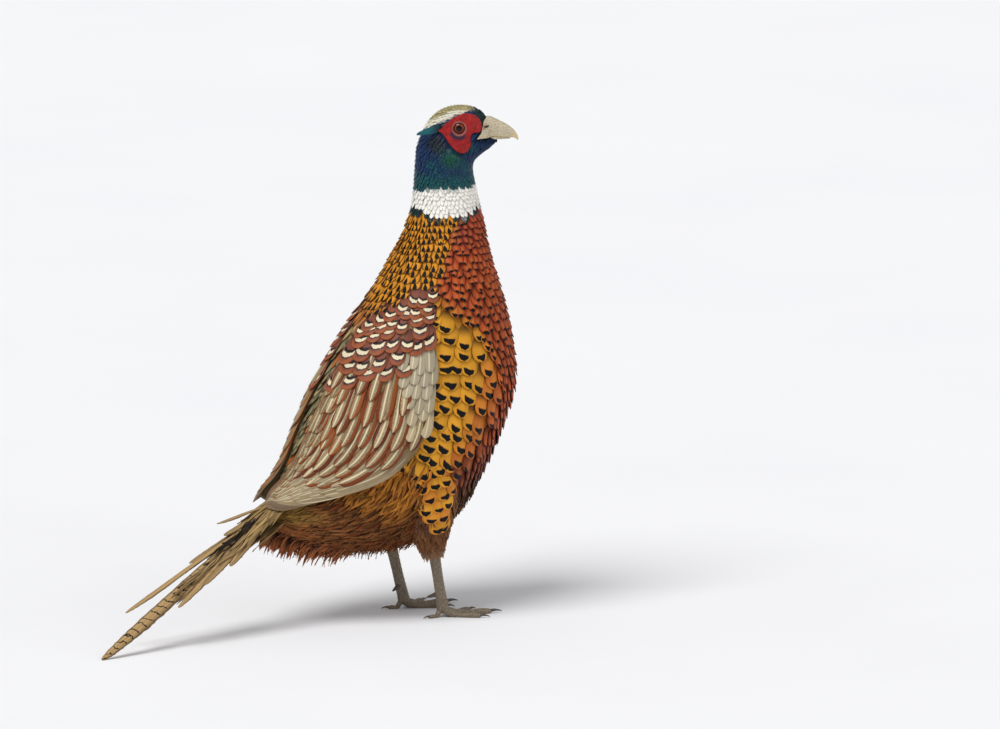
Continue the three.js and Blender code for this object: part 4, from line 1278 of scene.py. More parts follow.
def build_thigh_scales(coat):
    """Gold feathers with black tips that hang from the flank over the outside of each thigh."""
    for number, (name, _) in enumerate(SIDES):
        f0, bearing = np.meshgrid(np.arange(-0.47, 0.46, 0.155), np.arange(-40, 90, 26.0), indexing="ij")
        bearing = bearing + 12.0 * (np.arange(len(f0)) % 2)[:, None]
        f0, bearing = f0.ravel(), bearing.ravel() + rng.normal(0, 3, f0.size)
        f0 = f0 + rng.normal(0, 0.012, f0.size)
        keep = (bearing < 44 - 56 * f0) & (bearing > -30 + 80 * np.maximum(f0, 0))
        f0, bearing = pick(keep, f0, bearing)
        n = len(f0)
        turn = 180 - bearing if name == "right" else bearing
        f, half = vane_half(10, rng.uniform(15.0, 18.5, n), 0.5, 0.7, 2.2)
        ahead = f0[:, None] + f[None, :] * 0.34
        low = -1.5 - 10.0 * smooth(-0.05, -0.45, f0)
        grow = low[:, None] + (1.6 - low + rng.uniform(0, 0.6, n))[:, None] * f[None, :]
        centre = thigh_rings(name, ahead, turn[:, None], grow)
        out = unit(thigh_rings(name, ahead, turn[:, None], grow + 1) - centre)
        ground = layered(varied(GOLD, n), (ORANGE, rng.uniform(0, 0.8, n)),
                         (DEEP_COPPER, smooth(40, 60, bearing) * 0.8))
        style = columns(0.21 * rng.uniform(0.8, 1.1, n), 0.12, -0.14)
        home = home_on_thigh(number, np.clip(f0, 0, 1), turn)
        coat.add(centre, out, half, 9, 0.4, (ground, INK, style), home)


def build_thigh_locks(coat, number, name):
    """Short loose feathers down a thigh, closing round the heel."""
    n = THIGH_LOCKS
    f0 = -0.16 + 1.09 * np.linspace(0.0, 1.0, n) ** 0.85
    turn = (np.arange(n) * SPIRAL_TURN + rng.normal(0, 5, n)) % 360
    length = np.interp(f0, (0.1, 0.7, 0.93), (19, 13, 9.0)) * rng.uniform(0.8, 1.2, n)
    width = np.interp(f0, (0.1, 0.7, 0.93), (6.0, 4.2, 2.8))
    f, half = vane_half(7, width, 0.7, 0.4, 1.4)
    ahead = f0[:, None] + f[None, :] * (length / 78.0)[:, None]
    turns = turn[:, None] + f[None, :] * rng.normal(0, 7, n)[:, None]
    grow = -2.6 + (2.6 + rng.uniform(0.3, 1.4, n))[:, None] * f[None, :]
    on_thigh = np.minimum(ahead, 1.04)
    centre = thigh_rings(name, on_thigh, turns, grow)
    out = unit(thigh_rings(name, on_thigh, turns, grow + 1) - centre)
    centre = centre + (ahead - on_thigh)[..., None] * 45 * np.array((0.25, 0, -1.0))
    bearing = from_outer(name, turn)
    colour = blend(THIGH, BELLY, rng.uniform(0, 0.6, n))
    colour = blend(colour, PURPLE, 0.8 * smooth(0.55, 0.3, f0) * smooth(-5, -25, bearing))
    colour = blend(colour, FUZZ, 0.75 * smooth(0.72, 0.95, f0) + 0.15 * rng.uniform(0, 1, n))
    tip = blend(colour, THIGH_TIP, rng.uniform(0.1, 0.5, n))
    bare = (f0 > 0.02) | (np.abs(bearing - 10) > 40)
    centre, out, half, colour, tip, f0, turn = pick(bare, centre, out, half, colour, tip, f0, turn)
    home = home_on_thigh(number, np.clip(f0, 0, 0.95), turn)
    coat.add(centre, out, half, 3, 0.5, (colour, tip, np.zeros(3)), home, bow=0.3, ruffle=0.3)


# Wings

WING_START = 14.5
WING_TIP_STATION = 22.1
WING_TOP_ANGLE = 13.0
WING_TIP_ANGLE = 17.0
WING_LOW_ANGLES = np.array([66, 74, 79, 83, 78, 62, 49, 40, 26], float)[:, None]
WING_LIFTS = np.array([1.0, 3.0, 4.0, 4.5, 5.0, 6.0, 8.0, 10.0, 9.5])[:, None]


def wing_row(rows, a):
    """A number of the wing from its row of values along it, at shares a of its length."""
    return along(rows, a * (len(rows) - 1))[..., 0]


def wing_point(side, a, b, lift):
    """A point of the folded wing: a along it from the shoulder, b across it from its top edge."""
    a, b, lift = np.broadcast_arrays(*(np.asarray(v, float) for v in (a, b, lift)))
    low = wing_row(WING_LOW_ANGLES, np.maximum(a, 0))
    top = WING_TOP_ANGLE + (WING_TIP_ANGLE - WING_TOP_ANGLE) * np.maximum(a, 0) ** 4
    place = WING_START + (WING_TIP_STATION - WING_START) * a
    return trunk(place, side * (top + (low - top) * b), lift)


def wing_tier(coat, side, a_tip, b, length, width, looks, rows=14, cols=7, raised=2.6, thick=0.6,
              widest=0.75, round_tip=2.0, fan=0.0, ruffle=0.12):
    """Feathers of one tier of a wing, from under the last tier back to tips at (a_tip, b). fan is
    how much nearer the wing's top edge their roots lie."""
    n = len(a_tip)
    sunk = 2.0
    a_tip = a_tip + rng.normal(0, 0.006, n)
    b = b + rng.normal(0, 0.008, n)
    width = np.broadcast_to(width, n) * rng.uniform(0.94, 1.06, n)
    f, half = vane_half(rows, width, 0.55, widest, round_tip)
    step = wing_point(side, a_tip, b, 3) - wing_point(side, a_tip - 0.1, b, 3)
    scale = np.linalg.norm(step, axis=-1) / 0.1
    a = a_tip[:, None] - (1 - f)[None, :] * (length / scale)[:, None]
    across = b[:, None] - fan * (1 - f)[None, :]
    rise = (raised * rng.uniform(0.85, 1.15, n))[:, None] * f[None, :]
    lift = wing_row(WING_LIFTS, np.clip(a, 0, 1)) - sunk + (sunk + rise) * f[None, :] ** 1.2
    centre = wing_point(side, a, across, lift)
    out = unit(wing_point(side, a, across, lift + 1) - centre)
    coat.add(centre, out, half, cols, thick, looks, home_on_wing(side, a_tip, b), bow=0.14, ruffle=ruffle)


def tier_spots(a_tips, counts, b_from=0.03, b_to=0.99, a_shift=0.0):
    """Tips of rows of feathers across the wing, each row offset by half a feather."""
    a_all, b_all = [], []
    for row, (a, count) in enumerate(zip(a_tips, counts)):
        b = b_from + (b_to - b_from) * (np.arange(count) + 0.5 + 0.25 * (-1) ** row) / count
        a_all.append(a + a_shift * (0.5 - b))
        b_all.append(b)
    return np.concatenate(a_all), np.concatenate(b_all)


def build_wing_base(name, side):
    """The closed pad that carries a folded wing's feathers."""
    a = np.linspace(-0.01, 0.93, 60)[:, None]
    b = np.linspace(-0.01, 1.0, 32)[None, :]
    lift = wing_row(WING_LIFTS, np.clip(a, 0, 1))
    top = wing_point(side, a, b, lift - 1.4)
    low = wing_point(side, a, b, -1.0)
    points, faces = capped(np.concatenate([top, low[:, ::-1]], axis=1))
    tone = np.broadcast_to((BUFF + EARTH) / 2, points.shape)
    base = make_piece(f"wing_base_{name}", points, faces, skin_finish(f"wing_base_{name}"),
                      attributes={"ground": with_alpha(tone)})
    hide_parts(f"wing_{name}")


def build_scapulars(name, side):
    """The shoulder feathers of a wing, in rows of cream crescents."""
    coat = Coat()
    tips = (0.0, 0.035, 0.075, 0.12, 0.168, 0.218, 0.268)
    a, b = tier_spots(tips, (7, 7, 6, 6, 6, 6, 6), -0.04, 1.0, a_shift=0.13)
    a, b = pick(a < 0.145 + 0.16 * (1 - b), a, b)
    n = len(a)
    width = np.interp(a, (0.0, 0.2), (12.0, 17.5)) * rng.uniform(0.9, 1.1, n)
    ground = blend(varied(SHOULDER_RED, n), SHOULDER_PINK, rng.uniform(0.0, 0.8, n))
    looks = (ground, varied(CREAM, n, 0.9, 1.05), np.zeros(3))
    wing_tier(coat, side, a + rng.normal(0, 0.006, n), b, 1.9 * width, width, looks, rows=12, raised=1.2,
              thick=0.4)
    piece = coat.piece(f"scapulars_{name}", crescent_finish(f"scapulars_{name}"), "wing_feathers")
    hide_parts(f"wing_{name}")


def add_primaries(coat, side):
    """The longest flight feathers, one over another at the wing's tip."""
    a, b = tier_spots((0.99, 1.01, 1.035), (3, 3, 2), 0.0, 0.8)
    n = len(a)
    looks = (varied(PRIMARY, n), varied(BUFF, n), np.array([0.06, 0.15, 0.4]))
    wing_tier(coat, side, a, b, np.full(n, 74.0), 19.0, looks, rows=24, raised=0.8, widest=0.65, thick=0.5)


def add_secondaries(coat, side):
    """Long narrow flight feathers with cream edges, some of them rusty."""
    a, b = tier_spots((0.97, 0.91, 0.85, 0.79, 0.73, 0.67), (5, 5, 6, 6, 7, 7), 0.10)
    n = len(a)
    a = a + rng.normal(0, 0.012, n)
    tone = blend(varied(SECONDARY, n, 0.85, 1.1), GREY_BUFF, rng.uniform(0, 0.7, n))
    edges = blend(varied(CREAM, n, 0.8, 1.0), RUSTY, np.where(rng.uniform(0, 1, n) < 0.3, 1.0, 0.0))
    edging = columns(rng.uniform(0.08, 0.34, n), rng.uniform(0.0, 0.4, n), 0.6)
    wing_tier(coat, side, a, b, np.full(n, 92.0), 9.0, (tone, edges, edging), rows=28, raised=0.8,
              thick=0.4, widest=0.7)


def add_marbled_coverts(coat, side):
    """Buff feathers with maroon edges, squiggles and pale shafts over the wing's middle."""
    a, b = tier_spots((0.69, 0.61, 0.53, 0.45, 0.37, 0.30), (6, 7, 8, 8, 8, 7), 0.02, 1.02)
    a = a + rng.normal(0, 0.020, len(a))
    a, b = pick((b < 0.80 + 1.4 * (a - 0.32)) & (b < 1.35 - 0.8 * a), a, b)
    n = len(a)
    pale = blend(varied(COVERT, n), COVERT_DARK, rng.uniform(0, 1.0, n))
    edges = blend(varied(EDGE_MAROON, n), EDGE_RUST, rng.uniform(0, 0.9, n))
    edging = columns(rng.uniform(0.8, 1.25, n), rng.uniform(0.6, 1.0, n), rng.uniform(0.5, 0.9, n))
    wing_tier(coat, side, a, b, np.full(n, 62.0), 12.0, (pale, edges, edging), rows=24, cols=9, raised=1.3,
              thick=0.4, widest=0.8, round_tip=1.8, fan=0.03)


def add_silver_coverts(coat, side):
    """Silver-grey feathers along the wing's front edge."""
    a, b = tier_spots(np.linspace(0.38, 0.17, 6), (4,) * 6, 0.66, 1.0)
    a, b = pick(b > 0.78 + 1.3 * (a - 0.32), a, b)
    n = len(a)
    tone = blend(varied(SILVER, n, 0.85, 1.1), BUFF, 0.55 * smooth(0.25, 0.45, a))
    looks = (tone, blend(tone, CREAM, 0.6), np.array([0.15, 0.12, 0.7]))
    wing_tier(coat, side, a, b, np.full(n, 32.0), 10.5, looks, raised=0.9, thick=0.35, ruffle=0.4)


def add_top_coverts(coat, side):
    """Two rows of rust-edged feathers along the wing's top edge."""
    a, b = tier_spots(np.linspace(0.92, 0.30, 10), (2,) * 10, -0.02, 0.15)
    n = len(a)
    looks = (blend(varied(OLIVE, n), GREY_BUFF, 0.7), varied(RUSTY, n), np.array([0.45, 1.0, 0.3]))
    wing_tier(coat, side, a, b, np.full(n, 46.0), 11.0, looks, rows=18, raised=1.2, thick=0.4)


def build_wing(name, side):
    """One folded wing: its base, shoulder feathers, and the tiers of flight feathers and coverts."""
    build_wing_base(name, side)
    build_scapulars(name, side)
    coat = Coat()
    for add_tier in (add_primaries, add_secondaries, add_marbled_coverts, add_silver_coverts,
                     add_top_coverts):
        add_tier(coat, side)
    piece = coat.piece(f"wing_feathers_{name}", flight_finish(f"wing_plumage_{name}"), "wing_feathers")
    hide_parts(f"wing_{name}")


# Tail

TAIL_ROOT = np.array((-126.0, -1.0, 112.0))
TAIL_TIP = np.array((-345.0, -74.0, 0.4))
TAIL_WAY = TAIL_TIP - TAIL_ROOT
TAIL_AXIS = unit(TAIL_WAY)
TAIL_ACROSS = unit(np.cross(UP, TAIL_AXIS))
# Where each long feather ends, and its width.
TAIL_FEATHERS = (
    ((-345, -74, 0.6), 11.5), ((-323, -68, 10), 9.0), ((-303, -35, 32), 6.5), ((-296, -50, 22), 7.0),
    ((-265, -62, 38), 6.0), ((-235, -52, 54), 6.5), ((-206, -44, 67), 7.0), ((-262, -24, 50), 6.5),
    ((-230, -12, 66), 7.0), ((-201, -8, 98), 4.0), ((-196, -12, 88), 6.0),
)
BARRED_LENGTH = 200.0
BAR_PITCH = 9.5
WORN_FEATHERS = 26
BLACK_STRANDS = 16
TAIL_COVERTS = 170
FLOOR_GAP = 0.6


def tail_blade(coat, tip, width, look, lean, start=10.0, wave=0.0, blunt=2.6, rows=64):
    """One tail feather from the root to its tip, leaning towards the bird's right. wave is how far
    a worn one swings from side to side."""
    f, half = vane_half(rows, np.array([width]), 0.42, 0.62, blunt, 0.12)
    phase = rng.uniform(0, 6)
    wear_and_gap_shade = 1 + 0.03 * np.sin(f * 61 + phase) + 0.05 * np.sin(f * 17 + phase) * f
    wear_and_gap_shade = wear_and_gap_shade * (1 + 0.05 * rng.normal(0, 1, rows) * smooth(0.3, 1.0, f))
    root = TAIL_ROOT + TAIL_AXIS * start
    tip = np.array(tip, float)
    off = (tip - root) @ TAIL_ACROSS
    path = line(root, tip, f) + TAIL_ACROSS * (wave * np.sin(f * 11 + phase) * f)[:, None]
    path[:, 2] += 5 * np.sin(np.pi * f) * (1 - f) + 0.9 * (1 - f) + 0.5 * wave * np.sin(f * 14 + phase)
    path[:, 2] = np.maximum(path[:, 2], FLOOR_GAP)
    out = np.broadcast_to(unit(UP + TAIL_ACROSS * (off / 60 + lean)), path.shape)
    home = np.array([[0.4 + off / 300, 0.3 + 0.4 * rng.uniform()]])
    coat.add(path[None], out[None], half * wear_and_gap_shade, 13, 0.9, look, home, bow=0.22, ruffle=0.3 + 0.4 * wave)


def build_tail():
    """The tail feather by feather, with worn ones and black strands round its base, and coverts."""
    coat = Coat()
    edge = blend(EARTH, INK, 0.3)[None]
    for tip, width in TAIL_FEATHERS:
        length = np.linalg.norm(np.array(tip, float) - TAIL_ROOT)
        barred = 1.0 if length > BARRED_LENGTH else 0.0
        # Each look's third number is how strongly black streaks, painted shade of the gaps between frayed
        # barbs, cover the feather.
        look = (varied(TAIL_BUFF, 1, 0.9, 1.1), edge, np.array([barred, length / BAR_PITCH, 0.25]))
        tail_blade(coat, tip, width, look, 0.55)
    for _ in range(WORN_FEATHERS):
        share = rng.uniform(0.28, 0.66)
        tip = TAIL_ROOT + TAIL_WAY * share + TAIL_ACROSS * rng.normal(2, 7 * (1 - share) + 3)
        tip = tip + UP * rng.normal(1.0, 4.5)
        look = (varied(TAIL_BUFF, 1, 0.7, 1.15), edge, np.array([0.1, 14.0, rng.uniform(0.2, 1.0)]))
        tail_blade(coat, tip, rng.uniform(3.5, 7.5), look, 0.55, 2.0, rng.uniform(0.6, 2.2), 1.6, 40)
    for _ in range(BLACK_STRANDS):
        tip = TAIL_ROOT + TAIL_WAY * rng.uniform(0.24, 0.46) + TAIL_ACROSS * rng.normal(1, 3)
        look = (varied(INK, 1, 1.0, 2.5), edge, np.array([0.0, 14.0, 0.6]))
        tail_blade(coat, tip + UP * rng.uniform(4, 10), rng.uniform(2.0, 4.5), look, 0.3, 4.0, 1.8, 1.4, 30)
    add_tail_coverts(coat)
    piece = coat.piece("tail_feathers", tail_finish("tail_plumage"), "tail_feathers")
    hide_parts("tail")


def add_tail_coverts(coat):
    """Narrow feathers over and under the tail's root, fanned out from it."""
    n = TAIL_COVERTS
    g = np.sort(rng.uniform(-0.25, 1, n))
    fan = rng.uniform(-1, 1, n)
    sign = np.where(rng.uniform(0, 1, n) < 0.35, -1.0, 1.0)
    height = sign * (7.5 - 4.5 * np.maximum(g, 0)) * np.sqrt(1 - 0.7 * fan ** 2)
    start = (TAIL_ROOT + TAIL_AXIS * (2 + 34 * g)[:, None] + TAIL_ACROSS * (fan * (11 - 4 * g))[:, None]
             + UP * height[:, None])
    spread = unit(TAIL_AXIS + TAIL_ACROSS * (fan * 0.13)[:, None] + UP * (rng.normal(0, 0.03, n))[:, None])
    f, half = vane_half(12, rng.uniform(2.6, 5.2, n), 0.6, 0.5, 1.4)
    reach = rng.uniform(34, 62, n)
    path = start[:, None] + spread[:, None] * (f[None, :] * reach[:, None])[..., None]
    path = path + UP * (sign[:, None] * 2.0 * np.sin(np.pi * f))[..., None]
    path = path + TAIL_ACROSS * (np.sin(f * 8 + 6 * fan[:, None]) * f * 1.2)[..., None]
    out = unit(UP * sign[:, None] + TAIL_ACROSS * (fan * 0.7 + 0.25)[:, None])
    tone = blend(varied(TAIL_BUFF, n, 0.7, 1.15), OLIVE, rng.uniform(0, 0.5, n))
    # The third number here is how strongly black streaks, painted shade of gaps between barbs, cover each
    # covert.
    looks = (tone, blend(varied(EARTH, n), INK, 0.3), columns(0.0, 8.0, rng.uniform(0.0, 0.7, n)))
    home = np.stack([0.6 + 0.15 * fan, 0.3 + 0.5 * g], -1)
    coat.add(path, np.broadcast_to(out[:, None], path.shape), half, 5, 0.5, looks, home, bow=0.2, ruffle=0.4)


# Head

# The bill's sections like the trunk's: upper edge (x, z), lower edge (x, z) and half width.
UPPER_BILL = np.array([
    (55.0, 438.6, 51.5, 422.6, 8.6), (65.0, 441.3, 60.0, 423.4, 7.6), (71.0, 439.2, 67.5, 423.2, 6.0),
    (76.8, 436.4, 74.0, 422.6, 4.7), (82.2, 433.4, 80.0, 422.2, 3.3), (87.0, 429.4, 85.3, 422.3, 2.3),
    (90.2, 425.0, 88.3, 421.8, 1.4), (91.6, 420.8, 90.4, 420.0, 0.5),
])
LOWER_BILL = np.array([
    (54.0, 424.6, 56.5, 420.5, 7.6), (64.0, 424.4, 65.0, 420.4, 6.0), (72.0, 423.6, 72.5, 420.6, 4.2),
    (79.0, 422.9, 79.0, 420.9, 2.6), (84.0, 422.4, 84.0, 421.2, 1.2),
])
BILL_LINE = ((54, 72, 85), (424.4, 423.4, 422.5))
NOSTRIL_AT = (63.2, 433.0)
LID_RADIUS = 5.0
IRIS_RADIUS = 4.9


def head_side(x, z):
    """How far out to the side the head's surface lies at points of its profile: halves the range
    of stations until the section that holds each point is found."""
    low, high = np.zeros(x.shape), np.full(x.shape, 9.0)
    for _ in range(40):
        s = (low + high) / 2
        row = along(STATIONS, s)
        middle, axis, reach = section(row)
        dx, dz = x - middle[..., 0], z - middle[..., 1]
        before = axis[..., 0] * dz - axis[..., 1] * dx < 0
        low = np.where(before, low, s)
        high = np.where(before, s, high)
    c = (dx * axis[..., 0] + dz * axis[..., 1]) / reach ** 2
    return row[..., 4] * np.sqrt(np.clip(1 - c * c, 0.0, 1.0))


def build_wattle(name, side):
    """Bare skin round the eye: a raised sheet from the lids out to the wattle's outline, with small
    papillae, closed underneath."""
    rows, sides = 70, 220
    closed = np.concatenate([WATTLE_OUTLINE[-1:], WATTLE_OUTLINE, WATTLE_OUTLINE[:2]])
    u = np.linspace(0, len(WATTLE_OUTLINE), sides, endpoint=False) + 1
    eye = np.array(EYE_AT)
    spokes = along(closed, u) - eye
    way = unit(spokes)
    reach = np.linalg.norm(spokes, axis=-1)
    radius = LID_RADIUS + (reach - LID_RADIUS) * np.linspace(0, 1, rows)[:, None]
    x, z = eye[0] + way[:, 0] * radius, eye[1] + way[:, 1] * radius
    bumps = 0.16 * np.sin(x * 4.1 + 1.3 * np.sin(z * 2.2)) * np.sin(z * 4.4 + 1.1 * np.sin(x * 2.7))
    folds = 0.18 * np.sin(radius * 1.5 + 0.8 * np.sin(u * 0.9))
    height = -0.5 + (1.75 + bumps + folds) * smooth(0.0, 1.2, reach - radius)
    from_eye = radius - LID_RADIUS
    lid = np.exp(-((from_eye - 0.7) / 0.75) ** 2)
    head = head_side(x, z)
    ball = EYE_OUT + math.sqrt(EYE_RADIUS ** 2 - LID_RADIUS ** 2) - 0.3
    free = smooth(0.0, 2.2, from_eye)
    out = (head + height) * free + ball * (1 - free) + lid
    under = np.minimum(out, head) - 1.6
    sheet = np.stack([np.concatenate([part, part[::-1]]) for part in (x, z)])
    points = head_point(sheet[0], sheet[1], side * np.concatenate([out, under[::-1]])).reshape(-1, 3)
    faces = grid_faces(2 * rows, sides, wrap_rows=True, wrap_cols=True)
    strip = smooth(1.0, 1.6, from_eye) * smooth(5.2, 4.2, from_eye) * smooth(-0.25, -0.55, way[:, 1])
    strip = strip * smooth(11.5, 9.0, np.abs(x - 34.5))
    style = columns(0.85 * lid, 0.9 * strip, 0.0)
    style = np.concatenate([style, style[::-1]]).reshape(-1, 3)
    piece = make_piece(f"wattle_skin_{name}", points, outward(points, faces),
                       wattle_finish(f"wattle_{name}"), attributes={"style": style})
    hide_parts(f"wattle_{name}")


def build_eye(name, side):
    """The eyeball: circles about the line that looks out of the head."""
    rows, sides = 64, 96
    tilt = np.pi * (np.arange(rows) + 0.5)[:, None] / rows
    turn = ring_turns(sides)[None, :]
    radius = EYE_RADIUS * np.sin(tilt)
    x = EYE_AT[0] + radius * np.cos(turn)
    z = EYE_AT[1] + radius * np.sin(turn)
    points, faces = capped(head_point(x, z, side * (EYE_OUT + EYE_RADIUS * np.cos(tilt))))
    style = columns(radius / IRIS_RADIUS, turn, 0.0)
    piece = make_piece(f"eyeball_{name}", points, faces, eye_finish(f"eye_{name}"),
                       attributes={"style": with_ends(style)})
    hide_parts(f"eye_{name}")


def bill_rings(rows, count, sides, share):
    """Sections of one half of the bill: share bends an ellipse towards a roof, narrower above."""
    row = along(rows, np.linspace(0, len(rows) - 1, count))
    angle = ring_turns(sides)
    c, s = np.cos(angle), np.sin(angle)
    middle, axis, _ = section(row)
    spot = middle[:, None] + axis[:, None] * c[:, None]
    boxy = np.sign(s) * np.abs(s) ** np.where(c < 0, 0.45, 1.0)
    wide = np.maximum(row[:, 4:5], 0.4) * boxy * (1 - share * np.maximum(c, 0) * np.abs(c))
    return spot[..., 0], spot[..., 1], wide


def build_bill():
    """Upper bill with hooded nostrils, and lower bill closed against it."""
    x, z, wide = bill_rings(UPPER_BILL, 150, 96, 0.18)
    face = head_side(x, z)
    size = np.abs(wide)
    bare = smooth(-0.8, 0.2, past_horn(x, z)) * smooth(70, 63, x)
    cover = np.minimum(size, face - 1.8) * (1 - bare) + np.maximum(size, face + 0.35) * bare
    wide = np.where(x < 70, np.sign(wide) * np.where(x < 63, cover, np.maximum(size, cover)), wide)
    wide = wide * np.where(z < np.interp(x, (53, 90), (427, 423)), 1.08, 1.0)
    dx, dz = x - NOSTRIL_AT[0], z - NOSTRIL_AT[1]
    hole = np.exp(-((dx / 2.2) ** 2 + ((dz - 0.12 * dx) / 1.0) ** 2) ** 1.5)
    hood = np.exp(-(((dx + 0.6) / 3.6) ** 2 + ((dz - 2.2) / 1.8) ** 2))
    wide = wide + np.sign(wide) * (1.0 * hood - 1.7 * hole) * smooth(2.5, 4.5, np.abs(wide))
    points, faces = capped(head_point(x, z, wide))
    warm = smooth(427, 422, z) * 0.4 + smooth(84, 91, x) * 0.5
    pink = np.exp(-((x - 61.4) / 1.9) ** 2 - ((z - 433.6) / 2.8) ** 2)
    # The first number darkens the nostril's opening: painted shade in its hollow.
    style = columns(np.clip(hole * 1.3, 0, 1), warm, 1.1 * pink)
    piece = make_piece("bill_top", points, faces, horn_finish("bill_top"),
                       attributes={"style": with_ends(style)})
    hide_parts("bill_upper")
    x, z, wide = bill_rings(LOWER_BILL, 80, 64, 0.0)
    z = np.minimum(z, np.interp(x, *BILL_LINE))
    points, faces = capped(head_point(x, z, wide))
    style = columns(0.0, smooth(421.5, 419.5, z) * 0.4, 0.0)
    piece = make_piece("bill_bottom", points, faces, horn_finish("bill_bottom"),
                       attributes={"style": with_ends(style)})
    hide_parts("bill_lower")


# Legs

# Each toe's bearing from straight ahead, length, radius and claw.
TOES = ((30, 33.0, 3.0, 9.0), (0, 45.0, 3.4, 11.0), (-28, 36.0, 3.0, 9.0))
HIND_TOE = (165, 13.0, 2.3, 7.0)
HIND_TOE_HEIGHT = 9.0
SPUR_HEIGHT = 22.0
SPUR_LENGTH = 13.6
SHANK_DEPTH = 4.6
SHANK_WIDTH = 3.4
SHANK_PLATES = 13
PLATE_PITCH = 2.2


def plates(f, count, groove):
    """Overlapping plates along a limb: each one rises to its lower end and drops at a groove."""
    t = (f * count) % 1.0
    return smooth(0.0, 0.18, t) * (1 - smooth(1 - groove, 1.0, t)) * (0.6 + 0.4 * t)


def scute_style(relief, front):
    """Numbers for the legs' finish: seams between the plates, and how flat and broad a plate is."""
    return with_ends(columns(smooth(0.45, 0.1, relief), relief * front, 0.0))


def build_shank(name, ankle):
    """The bare shank: broad plates in front, small round scales behind and at the sides."""
    sides = 64
    f = np.linspace(0, 1, 260)[:, None]
    path = line(LEGS[name]["heel"], ankle, f[:, 0])
    turn = ring_turns(sides)[None, :]
    front = smooth(0.25, 0.6, np.sin(turn))
    waist = 1 + 0.2 * (2 * f[:, 0] - 1) ** 2
    broad = plates(f + 0.012 * np.abs(np.cos(turn)), SHANK_PLATES, 0.12) * front
    small = 0.5 + 0.5 * np.sin(f * 118) * np.sin(turn * 9 + np.floor(f * 18.8) * 1.57)
    small = small ** 0.5 * (1 - front)
    bumps = 0.45 * broad + 0.28 * small - 0.1
    rings = swept(path, SHANK_WIDTH * waist, SHANK_DEPTH * waist, sides, FORWARD, bumps)
    return capped(rings) + (scute_style(broad + small, front),)


def build_toe(start, angle, length, radius, claw):
    """A toe that drops from the foot to the floor, swollen at its pads, with plates along its top,
    and its curved claw."""
    sides = 32
    f = np.linspace(0, 1, 90)
    way = np.array((math.cos(math.radians(angle)), math.sin(math.radians(angle)), 0.0))
    size = radius * (1 - 0.38 * f + 0.1 * np.sin(3 * np.pi * f))
    path = start + way * (length * f)[:, None]
    path[:, 2] = np.maximum(start[2] * (1 - 2.2 * f), size - 0.3)
    turn = ring_turns(sides)[None, :]
    top = smooth(0.1, 0.5, np.sin(turn))
    below = smooth(-0.2, -0.7, np.sin(turn))
    plate = plates(f[:, None], length / PLATE_PITCH, 0.16)
    pads = np.abs(np.sin(f[:, None] * np.pi * 3.5))
    bumps = 0.22 * plate * top + 0.35 * pads * below - 0.06
    close = smooth(0, 0.03, 1.02 - f)
    rings = swept(path, size * 1.05 * close, size * close, sides, UP, bumps)
    rings[..., 2] = np.maximum(rings[..., 2], 0.15)
    g = np.linspace(0, 1, 24)
    nail = path[-1] - way * 1.5 + way * ((claw + 1.5) * g)[:, None]
    nail[:, 2] = radius * 0.6 + 1.0 * np.sin(np.pi * g) - 0.5 * g
    nail_size = radius * 0.46 * (1 - g) ** 0.7 + 0.12
    nail_rings = swept(nail, nail_size * 0.85, nail_size, 20, UP)
    nail_rings[..., 2] = np.maximum(nail_rings[..., 2], 0.1)
    return capped(rings) + (scute_style(plate * top + (1 - top) * 0.7, top),), capped(nail_rings)


def joined(parts):
    """Points and faces of several meshes, put together as one."""
    counts = np.cumsum([0] + [len(part[0]) for part in parts])
    points = np.concatenate([part[0] for part in parts])
    return points, np.concatenate([part[1] + n for part, n in zip(parts, counts)])


def build_leg(name, side):
    """One shank with its foot, claws and spur."""
    leg = LEGS[name]
    heel = np.array(leg["heel"], float)
    ankle = np.array((leg["foot"][0], leg["foot"][1], ANKLE_HEIGHT), float)
    behind = np.array((leg["foot"][0] - 1.5, leg["foot"][1], HIND_TOE_HEIGHT), float)
    scaly, horny = [build_shank(name, ankle)], []
    for start, (angle, length, radius, claw) in zip((ankle,) * 3 + (behind,), TOES + (HIND_TOE,)):
        flesh, nail = build_toe(start, leg["aim"] + side * angle, length, radius, claw)
        scaly.append(flesh)
        horny.append(nail)
    spur_way = unit(np.array((-0.8, -side * 0.45, -0.42)))
    share = (heel[2] - SPUR_HEIGHT) / (heel[2] - ANKLE_HEIGHT)
    g = np.linspace(0, 1, 30)
    spur = heel + (ankle - heel) * share + spur_way * (SPUR_LENGTH * g)[:, None]
    spur[:, 2] += 1.2 * g ** 2
    size = 2.4 * (1 - g) ** 0.6 + 0.25
    horny.append(capped(swept(spur, size, size, 24, UP)))
    points, faces = joined(scaly)
    style = np.concatenate([part[2] for part in scaly])
    piece = make_piece(f"leg_scales_{name}", points, faces, scute_finish(f"leg_{name}"),
                       attributes={"style": style})
    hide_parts(f"leg_{name}")
    points, faces = joined(horny)
    piece = make_piece(f"claws_{name}", points, faces, claw_finish(f"claws_{name}"))
    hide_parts(f"leg_{name}")


# Stage, light and camera

CAMERA_AZIMUTH = -27.0
CAMERA_HEIGHT = 10.0
CAMERA_AWAY = 18000.0
SENSOR = 36.0
MM_A_PIXEL = 0.88
VIEW_WIDTH = 1000
VIEW_MIDDLE = (500, 364.5)
FEET_AT = (418, 613)
FLOOR_REACH = 60.0
SKY = (0.97, 0.98, 1.0, 1.0)
SKY_STRENGTH = 0.41


def view_ways():
    """The camera's right, up and forward directions."""
    a, e = math.radians(CAMERA_AZIMUTH), math.radians(CAMERA_HEIGHT)
    right = np.array((math.cos(a), math.sin(a), 0.0))
    up = np.array((-math.sin(a) * math.sin(e), math.cos(a) * math.sin(e), math.cos(e)))
    return right, up, np.cross(up, right)


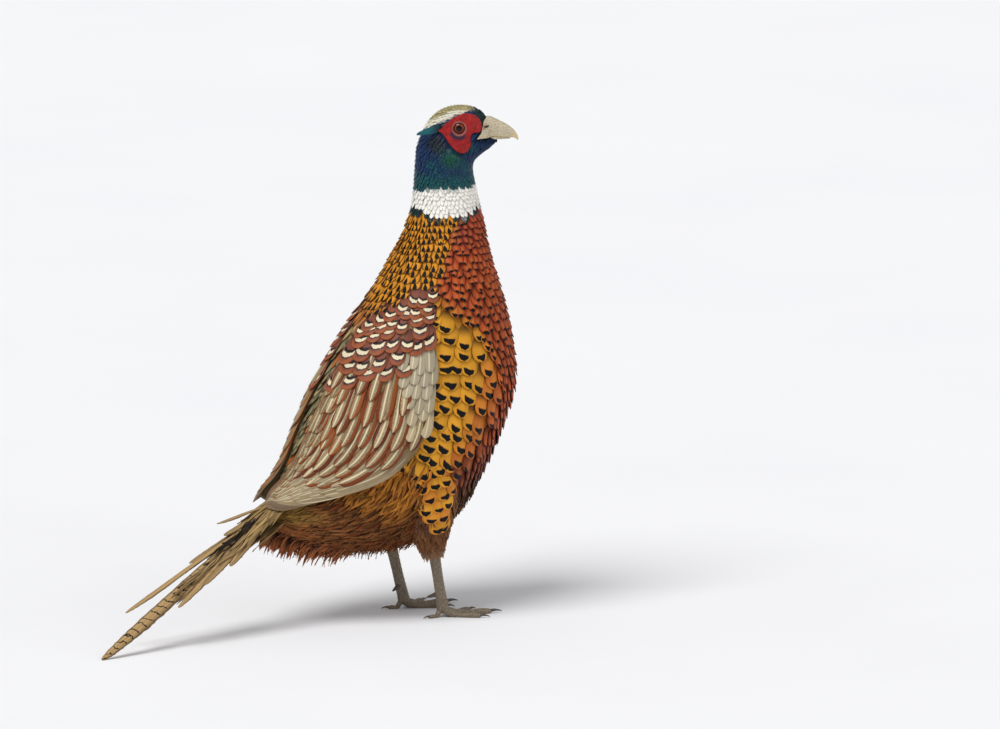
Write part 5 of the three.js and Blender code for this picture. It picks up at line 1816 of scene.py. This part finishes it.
def place_object(name, data, ways, at):
    """Puts a lamp or camera at a place, with its own three axes along ways."""
    holder = bpy.data.objects.new(name, data)
    bpy.context.scene.collection.objects.link(holder)
    rows = np.eye(4)
    rows[:3, :3] = np.stack(ways, -1)
    rows[:3, 3] = at
    holder.matrix_world = Matrix(rows.tolist())
    return holder


def add_light(name, at, spread, power):
    """A wide soft sun, spread degrees across, that shines from a place to the bird's middle."""
    lamp = bpy.data.lights.new(name, "SUN")
    lamp.angle = math.radians(spread)
    lamp.energy = power
    ahead = unit(UP * 0.25 - at)
    side = unit(np.cross(ahead, UP))
    place_object(name, lamp, (side, np.cross(side, ahead), -ahead), at)


def build_stage():
    """A large pale floor, soft light all round, and the camera."""
    mesh = bpy.data.meshes.new("floor")
    reach = FLOOR_REACH
    corners = [(-reach, -reach, 0), (reach, -reach, 0), (reach, reach, 0), (-reach, reach, 0)]
    mesh.from_pydata(corners, [], [(0, 1, 2, 3)])
    floor = bpy.data.objects.new("floor", mesh)
    bpy.context.scene.collection.objects.link(floor)
    mesh.materials.append(floor_finish("floor"))

    world = bpy.data.worlds.new("sky")
    world.use_nodes = True
    sky = world.node_tree.nodes["Background"].inputs
    sky["Color"].default_value = SKY
    sky["Strength"].default_value = SKY_STRENGTH
    bpy.context.scene.world = world

    right, up, away = view_ways()
    add_light("key", -right - 1.3 * away + 2.4 * UP, 30, 2.15)
    add_light("fill", 2.0 * right - 1.2 * away + 1.2 * UP, 60, 0.45)

    camera = bpy.data.cameras.new("camera")
    camera.sensor_width = SENSOR
    camera.lens = SENSOR * CAMERA_AWAY / (VIEW_WIDTH * MM_A_PIXEL)
    camera.clip_end = 200.0
    over, under = np.subtract(VIEW_MIDDLE, FEET_AT) * MM_A_PIXEL
    at = (right * over - up * under - away * CAMERA_AWAY - ORIGIN) * MM
    bpy.context.scene.camera = place_object("camera", camera, (right, up, -away), at)
    bpy.context.scene.view_settings.view_transform = "Standard"


build_skin()
build_head_coat()
build_neck_coat()
build_body_coat()
build_belly()
build_vent()
build_thigh_coat()
for side_name, side_sign in SIDES:
    build_wattle(side_name, side_sign)
    build_eye(side_name, side_sign)
    build_leg(side_name, side_sign)
    build_wing(side_name, side_sign)
build_bill()
build_tail()
build_stage()
